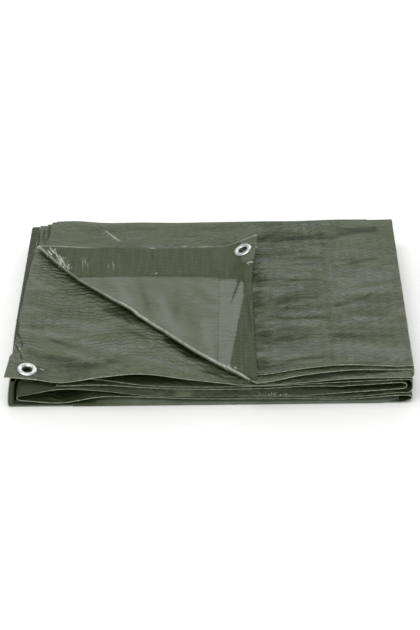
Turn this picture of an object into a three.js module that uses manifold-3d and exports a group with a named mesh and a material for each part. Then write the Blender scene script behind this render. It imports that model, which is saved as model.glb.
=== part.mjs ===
// Folded poly tarp: one sheet of coated woven tape, folded to a flat pack, with two of its corner eyelets
// in view. One eyelet is at the pack's front left corner, the other on the corner turned back over the top.
// Millimetres, +Z up, the pack's long side along X and its open front edges towards -Y.
// The origin is on the floor, under the middle of the pack.
import * as THREE from "three";
import { mergeVertices } from "three/addons/utils/BufferGeometryUtils.js";
import Module from "manifold-3d";

const wasm = await Module();
wasm.setup();

// Sheet
const CLOTH = 1.3;            // thickness of a ply as modelled
const GAP = 0.3;              // clear space between pieces that touch
const FLOOR_PLY = CLOTH / 2;  // height of the middle of the ply that lies on the floor
const ROUND_DEPTH = 12;       // each ply rounds down to its front edge over this depth
const TOP_REST = 2.0;         // middle of the turned corner over the middle of the ply that it lies on

// Eyelets
const EYELET_RADIUS = 11;
const BORE_RADIUS = 5.4;
const NECK_WALL = 0.6;
const CLOTH_HOLE_RADIUS = BORE_RADIUS + NECK_WALL + GAP;
const FLANGE = 0.8;
const FLANGE_CROWN = 0.5;
const WASHER = 0.6;
const LIP = 0.5;
const LIP_RADIUS = 8;
const CROWN_PLACE = 0.55;     // where the flange is highest, as a share of the way out from the bore
const FLANGE_ROUND = 0.4;     // how far the flange's edges are rounded
const HOLE_CUT = 12;          // length of the cutter for the hole in the cloth
const EYELET_STEPS = 24;

// Front left eyelet: middle of the cloth under it, its tilt, and the corner of hem that holds it
const FRONT_EYELET = { x: -201.0, y: -131.3, z: 37.4, slope: -0.134, flat: 13, blend: 34 };
const FRONT_HEM = { x0: -240, x1: -184, y0: -160, y1: -109, z0: 20, z1: 50 };
const HEM_STEPS = 9;

// Turned corner
const FOLD_LINE = {                             // the diagonal fold, which bows, from near right to far left
  y: [-151, -128, -76, -31, 30, 89.5],
  x: [48, 9, -53, -95, -156, -201],
};
const FLAP_TIP = { x: -201, y: 89.5 };          // far left end of the diagonal fold
const FLAP_FOOT_Y = -151;                       // its near right end
const FLAP_RIGHT = 49.5;                        // right edge of the turned corner, before it lifts
const FLAP_CORNER = { x: 58, y: 92 };
const FLAP_DIP = 7;                             // how far the middle of its far edge is drawn in
const FLAP_EYELET = { x: 41.5, y: 70.6, rise: 8.3, slope: 0.404 };
const FLAP_HEM = { left: 16, near: 18, past: 40 };   // how far that corner of hem reaches from the eyelet
const LIFT_FROM_Y = 15;                         // the corner starts to lift here
const LIFT_FULL_Y = 52;
const LIFT_SOFT = 9;                            // half the width of the bend where it lifts
const FLAP_FIRST_ROW = 0.012;                   // the grid starts this share of the way up, not at a point
const NOSE_REACH = 4;                           // how far the diagonal fold stands out from the plies in it
const SETBACK = { top: 7, under: 1 };           // how far short of the diagonal the two top plies stop

// Crest left in the top of the pack at its far left corner
const CREST = { x: -160, y: 132, width: 26, depth: 16, height: 3.5 };

// Places across the pack at which the front edges' heights are given
const ACROSS = [-205, -165, -120, -75, -20, 50, 100, 150, 205];
const BACK_ACROSS = [-205, 0, 205];

// The plies, top to bottom. front and back: the y of those edges at the middle; slant: how that front edge
// runs across the pack; inset: how far it is drawn back at each place across; body: the ply's height just
// behind its front edge; edge: the height of the edge itself; far: that of its back edge
const PLIES = {
  top: { front: -144.4, back: 141, slant: 0.047, far: [40.4, 38.6, 41.5],
    body: [48.8, 47.8, 50.2, 51.2, 44.8, 36.0, 42.4, 45.0, 40.6],
    edge: [48.2, 47.2, 49.6, 50.6, 44.2, 35.4, 42.0, 44.6, 40.2] },
  under: { front: -155.5, back: 142, slant: 0.085, far: [37.6, 35.7, 38.2],
    body: [46.2, 45.2, 47.7, 48.7, 42.2, 33.4, 40.0, 42.6, 38.2],
    edge: [45.6, 44.6, 47.1, 48.1, 41.6, 32.4, 39.6, 42.2, 37.8] },
  eyelet: { front: -146, back: 144, slant: 0, far: [34.6, 32.2, 34.4],
    body: [41.0, 34.0, 39.2, 44.2, 35.8, 28.8, 31.4, 35.6, 36.0],
    edge: [39.8, 31.6, 38.6, 42.6, 33.2, 24.4, 28.0, 32.8, 33.8] },
  outer: { front: -145, back: 147, slant: 0, far: [30.6, 27.2, 30.0], inset: [10, 8, 3, 0, 0, 0, 0, 0, 0],
    body: [31.6, 31.2, 32.0, 29.2, 27.0, 26.0, 27.8, 30.4, 32.6],
    edge: [31.4, 31.0, 31.2, 25.8, 22.5, 22.4, 24.9, 27.5, 30.0] },
  loose: { front: -146, back: 148, slant: 0, far: [25.0, 21.8, 25.4],
    body: [29.4, 29.0, 29.8, 26.8, 24.6, 23.8, 25.4, 27.2, 29.6],
    edge: [27.8, 26.6, 27.4, 23.3, 20.0, 19.8, 22.5, 23.0, 26.6] },
  lens: { front: -147.5, back: 148.5, slant: 0, far: [18.8, 16.6, 19.8],
    body: [28.6, 26.6, 27.2, 24.0, 21.8, 21.2, 19.6, 17.0, 20.2],
    edge: [15.0, 23.2, 20.4, 13.4, 10.0, 11.4, 11.0, 14.4, 18.8] },
  tongue: { front: -146.5, back: 148, slant: 0, far: [12.0, 11.2, 14.6],
    body: [17.0, 17.0, 17.0, 17.0, 16.6, 16.0, 14.8, 13.2, 16.0],
    edge: [9.0, 9.0, 9.0, 9.0, 8.6, 8.4, 7.9, 6.7, 12.4] },
  lower: { front: -147.5, back: 149, slant: 0, far: [6.6, 5.8, 8.8],
    body: [7.8, 4.6, 13.6, 12.8, 9.8, 9.2, 8.4, 7.6, 10.4],
    edge: [7.0, 3.4, 11.6, 10.8, 7.4, 6.3, 5.7, 4.6, 9.4] },
  floor: { front: -149.5, back: 151.5, slant: 0, far: [FLOOR_PLY, FLOOR_PLY, FLOOR_PLY],
    body: ACROSS.map(() => FLOOR_PLY), edge: ACROSS.map(() => FLOOR_PLY) },
};

// The ply doubled back from the floor ply's front edge, between it and the lowest loose ply: its height
// behind its rounded front, at each place across, and how far it reaches
const DOUBLED = { left: -152, right: 201, reach: 58, hold: 9, rim: 2.2, bulge: 1.6,
  places: [-152, -134, -118, -75, -20, 50, 100, 150, 205],
  body: [2.3, 4.6, 8.8, 8.6, 5.4, 4.4, 3.9, 2.75, 6.4] };
const DOUBLED_DEPTHS = [0, 0.35, 0.7, 1];       // shares of the rounded front's depth

// Side folds: reach is how far the fold stands out past the ends of its plies, square makes it boxier
const LEFT_FOLDS = {
  outer: { near: -217, far: -210, reach: 6, square: 0.3 },
  lens: { near: -205, far: -200, reach: 8, square: 1 },
};
const RIGHT_FOLDS = {
  top: { near: 217.2, far: 221.4, reach: 4, square: 0.8 },
  loose: { near: 208, far: 208, reach: 6, square: 1 },
  outer: { near: 213.5, far: 216, reach: 7, square: 0.6 },
  lower: { near: 214, far: 214, reach: 11.4, square: 1 },
};
const FLOOR_RIGHT = 204;      // where the floor ply starts to turn up on the right
const LOOSE_END = -168;       // free ends, inside the pack
const TONGUE_END = 30;
const TOP_LEFT = {            // left ends of the two top plies, past the diagonal fold
  top: { near: -194, far: -189 },
  under: { near: -200, far: -195 },
};

// Cloth turned in across the front of the tall left fold, between these steps of that fold: how far each
// of its points stands in from the fold, and how far back from the front
const TURN_IN = { from: 1, to: 5, right: [0, 0, 1.6, 4.6, 6.4, 6.8], back: [8, 1, -0.2, 0.2, 3.2, 8] };

// Left edge of the ply with the front eyelet, front to back
const EYELET_EDGE = [
  { y: -146, x: -225.4 },
  { y: -104, x: -221.5 },
  { y: -92, x: -216.2 },
  { y: -35, x: -215.4 },
  { y: 10, x: -212.8 },
  { y: 144, x: -204.5 },
];

// Folds along the back edge join the plies above and below
const BACK_FOLD_LEFT = -184;
const BACK_FOLD_RIGHT = 196;
const BACK_FOLD_HOLD = 9;     // how far its ends reach into the plies
const BACK_FOLD_REACH = 2.2;
const HOLD_CLOTH = CLOTH * 0.5;

// Fineness: steps of the grids
const DEPTHS = [0, 0.016, 0.04, 0.12, 0.25, 0.42, 0.6, 0.78, 0.92, 1];
const PLY_STEPS = 14;
const NOSE_STEPS = 5;
const ROW_MARGIN = 0.03;      // no row nearer than this to the pair of rows at the diagonal's tip
const ROW_PAIR = 0.004;       // half the distance between that pair
const LEFT_END_TRIES = 12;    // passes to find where a slanted row meets the diagonal
const WELD = 1e-5;
const TALL_NOSE_STEPS = 7;
const FLAP_STEPS = 14;

const COLOUR = {
  cloth: 0x56614a,
  hem: 0x515c46,
  metal: 0xc9ccce,
};

const mix = (a, b, t) => a + (b - a) * t;
const clamp = (value) => Math.min(1, Math.max(0, value));
const smooth = (t) => {
  const s = clamp(t);
  return s * s * (3 - 2 * s);
};

// Smooth curve through heights given at places, straight past either end
function along(places, heights, x) {
  const last = places.length - 1;
  const at = clamp((x - places[0]) / (places[last] - places[0])) * (places[last] - places[0]) + places[0];
  let i = 0;
  while (i < last - 1 && at > places[i + 1]) i += 1;
  const run = places[i + 1] - places[i];
  const t = (at - places[i]) / run;
  const slope = (k) => {
    const a = Math.max(0, k - 1);
    const b = Math.min(last, k + 1);
    return (heights[b] - heights[a]) / (places[b] - places[a]) * run;
  };
  const square = t * t;
  const cube = square * t;
  return (2 * cube - 3 * square + 1) * heights[i] + (cube - 2 * square + t) * slope(i)
    + (3 * square - 2 * cube) * heights[i + 1] + (cube - square) * slope(i + 1);
}

// Straight lines through the rows of an edge table
function edgeAt(rows, y) {
  const next = rows.findIndex((row) => row.y > y);
  if (next === 0) return rows[0].x;
  if (next < 0) return rows[rows.length - 1].x;
  const a = rows[next - 1];
  const b = rows[next];
  return mix(a.x, b.x, (y - a.y) / (b.y - a.y));
}

function frontEdge(ply, x) {
  return ply.front + ply.slant * x + (ply.inset ? along(ACROSS, ply.inset, x) : 0);
}

function plyDepth(ply, x, t) {
  return mix(frontEdge(ply, x), ply.back, t);
}

function crest(x, y) {
  const across = (x - CREST.x) / CREST.width;
  const deep = (y - CREST.y) / CREST.depth;
  return CREST.height * Math.exp(-across * across - deep * deep);
}

// Height of the middle of a ply at a place
function plyHeight(name, x, y) {
  const ply = PLIES[name];
  if (name === "floor") return FLOOR_PLY;
  const front = frontEdge(ply, x);
  const t = clamp((y - front) / (ply.back - front));
  const rim = name === "top" ? PLIES.under : ply;
  const hang = 1 - clamp((y - frontEdge(rim, x)) / ROUND_DEPTH);
  const body = along(ACROSS, ply.body, x);
  let z = mix(body, along(BACK_ACROSS, ply.far, x), t) - (body - along(ACROSS, ply.edge, x)) * hang * hang;
  if (name === "top" || name === "under") z += crest(x, y);
  if (name !== "eyelet") return z;
  const seat = FRONT_EYELET;
  const flat = 1 - smooth((Math.hypot(x - seat.x, y - seat.y) - seat.flat) / (seat.blend - seat.flat));
  return mix(z, seat.z + seat.slope * (x - seat.x), flat);
}

function plyPoint(name, x, t) {
  const y = plyDepth(PLIES[name], x, t);
  return new THREE.Vector3(x, y, plyHeight(name, x, y));
}

// A row of points on a ply from one end to the other
function plyRow(name, from, to, t, steps = PLY_STEPS) {
  return Array.from({ length: steps + 1 }, (_, i) => plyPoint(name, mix(from, to, i / steps), t));
}

// The points of a side fold, between the end of one ply and the end of the next
function nose(start, end, fold, side, steps = NOSE_STEPS) {
  const points = [];
  for (let i = 1; i < steps; i += 1) {
    const s = i / steps;
    const out = side * fold.reach * Math.sin(Math.PI * s) ** fold.square;
    const turn = (1 - Math.cos(Math.PI * s)) / 2;
    const p = new THREE.Vector3().lerpVectors(start, end, turn);
    p.x = mix(start.x, end.x, s) + out;
    points.push(p);
  }
  return points;
}

// One closed solid from a grid of points on the middle of a sheet; the thickness may differ along a row
function sheetSolid(rows, thickness = () => CLOTH) {
  const down = rows.length;
  const wide = rows[0].length;
  const positions = [];
  const index = [];
  const pick = (r, c) => rows[Math.min(down - 1, Math.max(0, r))][Math.min(wide - 1, Math.max(0, c))];
  const ahead = new THREE.Vector3();
  const aside = new THREE.Vector3();
  for (const side of [1, -1]) {
    for (let r = 0; r < down; r += 1) {
      for (let c = 0; c < wide; c += 1) {
        ahead.subVectors(pick(r + 1, c), pick(r - 1, c));
        aside.subVectors(pick(r, c + 1), pick(r, c - 1));
        const normal = aside.cross(ahead).normalize().multiplyScalar(side * thickness(c, wide) / 2);
        const p = rows[r][c];
        positions.push(p.x + normal.x, p.y + normal.y, p.z + normal.z);
      }
    }
  }
  const id = (side, r, c) => side * down * wide + r * wide + c;
  const quad = (a, b, c, d) => index.push(a, b, c, a, c, d);
  for (let r = 0; r < down - 1; r += 1) {
    for (let c = 0; c < wide - 1; c += 1) {
      quad(id(0, r, c), id(0, r, c + 1), id(0, r + 1, c + 1), id(0, r + 1, c));
      quad(id(1, r, c), id(1, r + 1, c), id(1, r + 1, c + 1), id(1, r, c + 1));
    }
    quad(id(0, r, 0), id(0, r + 1, 0), id(1, r + 1, 0), id(1, r, 0));
    quad(id(0, r, wide - 1), id(1, r, wide - 1), id(1, r + 1, wide - 1), id(0, r + 1, wide - 1));
  }
  for (let c = 0; c < wide - 1; c += 1) {
    quad(id(0, 0, c), id(1, 0, c), id(1, 0, c + 1), id(0, 0, c + 1));
    quad(id(0, down - 1, c), id(0, down - 1, c + 1), id(1, down - 1, c + 1), id(1, down - 1, c));
  }
  const geometry = new THREE.BufferGeometry();
  geometry.setAttribute("position", new THREE.Float32BufferAttribute(positions, 3));
  geometry.setIndex(index);
  return toSolid(geometry);
}

function toSolid(source) {
  const geometry = source.clone();
  geometry.deleteAttribute("normal");
  geometry.deleteAttribute("uv");
  const welded = mergeVertices(geometry, WELD);
  const mesh = new wasm.Mesh({
    numProp: 3,
    vertProperties: new Float32Array(welded.attributes.position.array),
    triVerts: new Uint32Array(welded.index.array),
  });
  mesh.merge();
  return new wasm.Manifold(mesh);
}

function toGeometry(solid) {
  const mesh = solid.getMesh();
  const geometry = new THREE.BufferGeometry();
  geometry.setAttribute("position", new THREE.Float32BufferAttribute(mesh.vertProperties, 3));
  geometry.setIndex(Array.from(mesh.triVerts));
  geometry.computeVertexNormals();
  return geometry;
}

function boxSolid(limits) {
  const geometry = new THREE.BoxGeometry(limits.x1 - limits.x0, limits.y1 - limits.y0, limits.z1 - limits.z0);
  geometry.translate((limits.x0 + limits.x1) / 2, (limits.y0 + limits.y1) / 2, (limits.z0 + limits.z1) / 2);
  return toSolid(geometry);
}

// The diagonal fold's x at a depth; past its tip the sheet's own left edge goes on
function diagonal(y) {
  return along(FOLD_LINE.y, FOLD_LINE.x, y);
}

function topLeft(name, y) {
  if (y < FLAP_TIP.y) return diagonal(y) + SETBACK[name];
  return mix(TOP_LEFT[name].near, TOP_LEFT[name].far, (y - FLAP_TIP.y) / (PLIES[name].back - FLAP_TIP.y));
}

// Depth along a top ply with a row exactly at the diagonal's tip
function topRowDepths(name) {
  const ply = PLIES[name];
  const tip = (FLAP_TIP.y - ply.front) / (ply.back - ply.front);
  const others = DEPTHS.filter((t) => Math.abs(t - tip) > ROW_MARGIN);
  return [...others, tip - ROW_PAIR, tip + ROW_PAIR].sort((a, b) => a - b);
}

// The x of a top ply's left end in a row, where the row's depth depends on x itself
function topRowLeft(name, t) {
  let x = 0;
  for (let i = 0; i < LEFT_END_TRIES; i += 1) x = topLeft(name, plyDepth(PLIES[name], x, t));
  return x;
}

// Top ply, which stops short inside the diagonal fold
function topPly() {
  const rows = topRowDepths("top").map((t) => {
    const right = mix(RIGHT_FOLDS.top.near, RIGHT_FOLDS.top.far, t) + RIGHT_FOLDS.top.reach - 1;
    return plyRow("top", topRowLeft("top", t), right, t);
  });
  return sheetSolid(rows);
}

// The ply under it, round the right side, and the ply that carries the front eyelet
function upperPlies() {
  const rows = topRowDepths("under").map((t) => {
    const right = mix(RIGHT_FOLDS.top.near, RIGHT_FOLDS.top.far, t);
    const under = plyRow("under", topRowLeft("under", t), right, t);
    const left = edgeAt(EYELET_EDGE, plyDepth(PLIES.eyelet, 0, t));
    const eyelet = plyRow("eyelet", right, left, t);
    return [...under, ...nose(under[PLY_STEPS], eyelet[0], RIGHT_FOLDS.top, 1), ...eyelet];
  });
  return sheetSolid(rows);
}

// The lower plies, one run that folds back and forth between the sides
function lowerPlies() {
  const rows = DEPTHS.map((t) => {
    const end = (fold) => mix(fold.near, fold.far, t);
    const lensRight = end(RIGHT_FOLDS.loose);
    const lensLeft = end(LEFT_FOLDS.lens);
    const outerLeft = end(LEFT_FOLDS.outer);
    const outerRight = end(RIGHT_FOLDS.outer);
    const loose = plyRow("loose", LOOSE_END, lensRight, t);
    const lens = plyRow("lens", lensRight, lensLeft, t);
    const lower = plyRow("lower", lensLeft, end(RIGHT_FOLDS.lower), t);
    const floor = plyRow("floor", FLOOR_RIGHT, outerLeft, t);
    const outer = plyRow("outer", outerLeft, outerRight, t);
    const tongue = plyRow("tongue", outerRight, TONGUE_END, t, Math.round(PLY_STEPS / 2));
    return [
      ...loose,
      ...nose(loose[PLY_STEPS], lens[0], RIGHT_FOLDS.loose, 1),
      ...lens,
      ...nose(lens[PLY_STEPS], lower[0], LEFT_FOLDS.lens, -1),
      ...lower,
      ...nose(lower[PLY_STEPS], floor[0], RIGHT_FOLDS.lower, 1),
      ...floor,
      ...nose(floor[PLY_STEPS], outer[0], LEFT_FOLDS.outer, -1, TALL_NOSE_STEPS),
      ...outer,
      ...nose(outer[PLY_STEPS], tongue[0], RIGHT_FOLDS.outer, 1, TALL_NOSE_STEPS),
      ...tongue,
    ];
  });
  return sheetSolid(rows);
}

// Cloth turned in across the front of the tall left fold
function turnedInEnd() {
  const fold = LEFT_FOLDS.outer;
  const start = plyPoint("floor", fold.near, 0);
  const end = plyPoint("outer", fold.near, 0);
  const edge = nose(start, end, fold, -1, TALL_NOSE_STEPS);
  const rows = edge.slice(TURN_IN.from - 1, TURN_IN.to).map((p) => (
    TURN_IN.right.map((right, k) => new THREE.Vector3(p.x + right, p.y + TURN_IN.back[k], p.z))
  ));
  return sheetSolid(rows, (c) => (c === 0 ? HOLD_CLOTH : CLOTH));
}

// A fold along the back that joins a ply to the one below it
function backFold(above, below) {
  const rows = [];
  for (let i = 0; i <= PLY_STEPS; i += 1) {
    const x = mix(BACK_FOLD_LEFT, BACK_FOLD_RIGHT, i / PLY_STEPS);
    const upper = plyPoint(above, x, 1);
    const lower = plyPoint(below, x, 1);
    const held = (p, name, back) => new THREE.Vector3(x, p.y - back, plyHeight(name, x, p.y - back));
    const row = [held(upper, above, BACK_FOLD_HOLD), held(upper, above, 1)];
    for (let k = 1; k < NOSE_STEPS; k += 1) {
      const s = k / NOSE_STEPS;
      const p = new THREE.Vector3().lerpVectors(upper, lower, (1 - Math.cos(Math.PI * s)) / 2);
      p.y = mix(upper.y, lower.y, s) + BACK_FOLD_REACH * Math.sin(Math.PI * s);
      row.push(p);
    }
    row.push(held(lower, below, 1), held(lower, below, BACK_FOLD_HOLD));
    rows.push(row);
  }
  return sheetSolid(rows, (c, wide) => (c === 0 || c === wide - 1 ? HOLD_CLOTH : CLOTH));
}

// The floor ply's front edge doubled back over it, with a rounded front
function doubledPly() {
  const front = PLIES.floor.front;
  const rows = [];
  for (let i = 0; i <= PLY_STEPS; i += 1) {
    const x = mix(DOUBLED.left, DOUBLED.right, i / PLY_STEPS);
    const body = along(DOUBLED.places, DOUBLED.body, x);
    const point = (back, z) => new THREE.Vector3(x, front + back, z);
    const row = [point(DOUBLED.hold, FLOOR_PLY), point(1, FLOOR_PLY)];
    for (let k = 1; k < NOSE_STEPS; k += 1) {
      const s = k / NOSE_STEPS;
      const turn = (1 - Math.cos(Math.PI * s)) / 2;
      const bulge = DOUBLED.bulge * Math.sin(Math.PI * s);
      row.push(point(1 - bulge, mix(FLOOR_PLY, DOUBLED.rim + FLOOR_PLY, turn)));
    }
    for (const share of DOUBLED_DEPTHS) {
      const hang = (1 - share) ** 2;
      row.push(point(1 + share * ROUND_DEPTH, mix(body, Math.min(body, DOUBLED.rim + FLOOR_PLY), hang)));
    }
    row.push(point(DOUBLED.reach / 2, body), point(DOUBLED.reach, mix(body, FLOOR_PLY + CLOTH + GAP, 0.3)));
    rows.push(row);
  }
  return sheetSolid(rows, (c) => (c === 0 ? HOLD_CLOTH : CLOTH));
}

// How far the turned corner stands up off the top
function flapLift(x, y) {
  const eyelet = FLAP_EYELET;
  const hinge = eyelet.x - eyelet.rise / eyelet.slope;
  const soft = LIFT_SOFT;
  const past = x - hinge;
  let rise = 0;
  if (past > soft) rise = eyelet.slope * past;
  else if (past > -soft) rise = eyelet.slope * (past + soft) ** 2 / (4 * soft);
  return rise * smooth((y - LIFT_FROM_Y) / (LIFT_FULL_Y - LIFT_FROM_Y));
}

function flapHeight(x, y) {
  return plyHeight("top", x, y) + TOP_REST + flapLift(x, y);
}

// Far edge and right edge of the turned corner
function flapFar(x) {
  const t = clamp((x - FLAP_TIP.x) / (FLAP_CORNER.x - FLAP_TIP.x));
  return mix(FLAP_TIP.y, FLAP_CORNER.y, t) - FLAP_DIP * Math.sin(Math.PI * t);
}

function flapRight(y) {
  const lift = smooth((y - LIFT_FROM_Y) / (FLAP_CORNER.y - LIFT_FROM_Y));
  return mix(FLAP_RIGHT, FLAP_CORNER.x, lift);
}

// The turned corner: from inside the ply below, round the diagonal fold and over the top
function turnedCorner() {
  const rows = [];
  for (let i = 0; i <= FLAP_STEPS; i += 1) {
    const share = mix(FLAP_FIRST_ROW, 1, i / FLAP_STEPS);
    const foot = mix(FLAP_FOOT_Y, FLAP_TIP.y, share);
    const fold = diagonal(foot);
    const right = flapRight(foot);
    const inside = fold + BACK_FOLD_HOLD;
    const start = new THREE.Vector3(inside, foot, plyHeight("under", inside, foot));
    const lower = new THREE.Vector3(fold, foot, plyHeight("under", fold, foot));
    const upper = new THREE.Vector3(fold, foot, flapHeight(fold, foot));
    const turn = { reach: NOSE_REACH, square: 1 };
    const row = [start, lower, ...nose(lower, upper, turn, -1), upper];
    for (let k = 1; k <= PLY_STEPS; k += 1) {
      const x = mix(fold, right, k / PLY_STEPS);
      const pull = share * share * (flapFar(x) - FLAP_TIP.y);
      const y = foot + pull;
      row.push(new THREE.Vector3(x, y, flapHeight(x, y)));
    }
    rows.push(row);
  }
  return sheetSolid(rows, (c) => (c === 0 ? HOLD_CLOTH : CLOTH));
}

// A corner of hem on a fine grid of its own, with the hole for its eyelet
function hemCorner(left, right, near, far, heightAt, seat) {
  const rows = [];
  for (let r = 0; r <= HEM_STEPS; r += 1) {
    const row = [];
    for (let c = 0; c <= HEM_STEPS; c += 1) {
      const across = mix(left(near), right(near), c / HEM_STEPS);
      const y = mix(near, far(across), r / HEM_STEPS);
      const x = mix(left(y), right(y), c / HEM_STEPS);
      row.push(new THREE.Vector3(x, y, heightAt(x, y)));
    }
    rows.push(row);
  }
  return sheetSolid(rows).subtract(holeSolid(seat));
}

function frontHemCorner() {
  const left = (y) => edgeAt(EYELET_EDGE, y);
  const heightAt = (x, y) => plyHeight("eyelet", x, y);
  return hemCorner(left, () => FRONT_HEM.x1, PLIES.eyelet.front, () => FRONT_HEM.y1, heightAt, FRONT_EYELET);
}

function turnedHemCorner(limits, seat) {
  return hemCorner(() => limits.x0, flapRight, limits.y0, flapFar, flapHeight, seat);
}

// Half section of an eyelet, as radius and height over the middle of the cloth
function eyeletSection() {
  const topFace = CLOTH / 2 + GAP;
  const neck = BORE_RADIUS + NECK_WALL;
  const washerFace = -(CLOTH / 2 + GAP + WASHER + GAP);
  return [
    [BORE_RADIUS, washerFace - LIP],
    [LIP_RADIUS, washerFace - LIP],
    [LIP_RADIUS, washerFace],
    [neck, washerFace],
    [neck, topFace],
    [EYELET_RADIUS, topFace],
    [EYELET_RADIUS - FLANGE_ROUND, topFace + FLANGE / 2],
    [mix(BORE_RADIUS, EYELET_RADIUS, CROWN_PLACE), topFace + FLANGE + FLANGE_CROWN],
    [BORE_RADIUS + FLANGE_ROUND, topFace + FLANGE],
    [BORE_RADIUS, topFace + FLANGE / 2],
  ];
}

function washerSection() {
  const face = -(CLOTH / 2 + GAP);
  const inside = CLOTH_HOLE_RADIUS;
  return [
    [inside, face - WASHER],
    [EYELET_RADIUS, face - WASHER],
    [EYELET_RADIUS, face],
    [inside, face],
  ];
}

// A ring turned about its own axis, which stands on the cloth
function ringGeometry(section, seat) {
  const outline = [...section, section[0]].map(([radius, height]) => new THREE.Vector2(radius, height));
  const geometry = new THREE.LatheGeometry(outline, EYELET_STEPS);
  geometry.rotateX(Math.PI / 2);
  geometry.rotateY(-Math.atan(seat.slope));
  geometry.translate(seat.x, seat.y, seat.z);
  return toGeometry(toSolid(geometry));
}

// Cutter for the hole in the cloth
function holeSolid(seat) {
  const geometry = new THREE.CylinderGeometry(CLOTH_HOLE_RADIUS, CLOTH_HOLE_RADIUS, HOLE_CUT, EYELET_STEPS);
  geometry.rotateX(Math.PI / 2);
  geometry.rotateY(-Math.atan(seat.slope));
  geometry.translate(seat.x, seat.y, seat.z);
  return toSolid(geometry);
}

function grow(limits, by) {
  return {
    x0: limits.x0 - by, x1: limits.x1 + by,
    y0: limits.y0 - by, y1: limits.y1 + by,
    z0: limits.z0 - by, z1: limits.z1 + by,
  };
}

function flapHemLimits(seat) {
  return {
    x0: seat.x - FLAP_HEM.left, x1: seat.x + FLAP_HEM.past,
    y0: seat.y - FLAP_HEM.near, y1: seat.y + FLAP_HEM.past,
    z0: seat.z - FLAP_HEM.past, z1: seat.z + FLAP_HEM.past,
  };
}

const group = new THREE.Group();
const clothMaterial = new THREE.MeshStandardMaterial({ color: COLOUR.cloth, roughness: 0.45, metalness: 0 });
const hemMaterial = new THREE.MeshStandardMaterial({ color: COLOUR.hem, roughness: 0.5, metalness: 0 });
const metalMaterial = new THREE.MeshStandardMaterial({ color: COLOUR.metal, roughness: 0.3, metalness: 1 });

function place(name, geometry, material) {
  const mesh = new THREE.Mesh(geometry, material);
  mesh.name = name;
  group.add(mesh);
}

const flapSeat = {
  x: FLAP_EYELET.x,
  y: FLAP_EYELET.y,
  z: flapHeight(FLAP_EYELET.x, FLAP_EYELET.y),
  slope: FLAP_EYELET.slope,
};
const upper = upperPlies();
const flap = turnedCorner();
const flapHem = flapHemLimits(flapSeat);
const tarp = lowerPlies()
  .add(upper.subtract(boxSolid(grow(FRONT_HEM, GAP))))
  .add(topPly())
  .add(backFold("top", "under"))
  .add(backFold("eyelet", "outer"))
  .add(doubledPly())
  .add(turnedInEnd())
  .add(flap.subtract(boxSolid(grow(flapHem, GAP))));

place("tarp_sheet", toGeometry(tarp), clothMaterial);
place("front_hem_corner", toGeometry(frontHemCorner()), hemMaterial);
place("turned_hem_corner", toGeometry(turnedHemCorner(flapHem, flapSeat)), hemMaterial);
for (const [name, seat] of [["front", FRONT_EYELET], ["turned", flapSeat]]) {
  place(`${name}_eyelet`, ringGeometry(eyeletSection(), seat), metalMaterial);
  place(`${name}_eyelet_washer`, ringGeometry(washerSection(), seat), metalMaterial);
}

export default group;
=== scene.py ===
import math
import bpy
import numpy as np
from mathutils import Matrix, Vector


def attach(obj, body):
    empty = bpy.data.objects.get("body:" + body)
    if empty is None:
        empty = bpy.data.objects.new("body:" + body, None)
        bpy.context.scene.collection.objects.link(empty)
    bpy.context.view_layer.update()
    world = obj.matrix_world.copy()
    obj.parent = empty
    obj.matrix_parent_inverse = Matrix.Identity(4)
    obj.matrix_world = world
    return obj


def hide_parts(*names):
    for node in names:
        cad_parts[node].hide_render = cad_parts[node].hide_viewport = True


# Folded poly tarp, dressed for rendering. Lengths in the tables are millimetres in the part's frame,
# as in the solids; MM turns them into Blender's metres when a mesh is made.
MM = 0.001

# Sheet
SHEET = 1.2                   # thickness of a ply as drawn
HELD = 0.5                    # thickness where the end of a fold lies inside another ply
FLOOR_PLY = 0.65              # height of the middle of the ply that lies on the floor
ROUND_DEPTH = 12              # each ply rounds down to its front edge over this depth
TOP_REST = 2.0                # middle of the turned corner over the middle of the ply that it lies on

# Front left eyelet, and the corner where the cloth is flat around it
FRONT_EYELET = {"x": -201.0, "y": -131.3, "z": 37.4, "slope": -0.134}
SEAT_FLAT = 13
SEAT_SOFT = 21

# Turned corner
FOLD_Y = [-151, -128, -76, -31, 30, 89.5]
FOLD_X = [48, 9, -53, -95, -156, -201]
FLAP_TIP = (-201, 89.5)
FLAP_FOOT_Y = -151
FLAP_RIGHT = 49.5
FLAP_CORNER = (58, 92)
FLAP_DIP = 7
FLAP_EYELET = {"x": 41.5, "y": 70.6, "rise": 8.3, "slope": 0.404}
LIFT_FROM_Y = 15
LIFT_FULL_Y = 52
LIFT_SOFT = 9
NOSE_REACH = 3.4              # how far the diagonal fold bulges
SETBACK = {"top": 7, "under": 1}
FLAP_FIRST_ROW = 0.012
FOOT_SHARE = 0.045            # the fold is pressed flat over this share of it, at its near end
FOOT_PINCH = 1.2
FLAP_CLEAR = 0.3              # the turned corner stands this much clear of what it lies on
FLAP_WAVE_LIFT = 0.3
FLAP_WAVES_FROM_FOLD = 20     # its waves grow to their full height over this distance from the fold
ACROSS_FOLD = 0.7             # distance off the diagonal fold, as a share of the distance along x

# Small kinks along the diagonal fold: where, how far out of line, and half their length
FOLD_KINKS = [(-18, -0.9, 7), (-38, 1.0, 8), (-50, -1.0, 5), (-78, 1.1, 5), (-112, -0.8, 8), (-134, 1.0, 5)]

# Hem bands of the turned corner: the far one's inner edge, and the right one's
HEM_FAR_X = [-155, -101, -69, -18, 37]
HEM_FAR_Y = [25, 23, 25, 29, 28]
HEM_RIGHT_Y = [-151, -134, -24, 28]
HEM_RIGHT_X = [7, 7, 11, 12]
HEM_STEP = 0.45               # how far a hem band stands up
HEM_SOFT = 1.6

# The top shows past these, and its waves grow over the soft distance
UNCOVERED = {"x": 50, "y": 88, "soft": 10}
TOP_WAVE_LIFT = 0.1
EYELET_WAVES = {"from": -146, "soft": 25}

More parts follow.
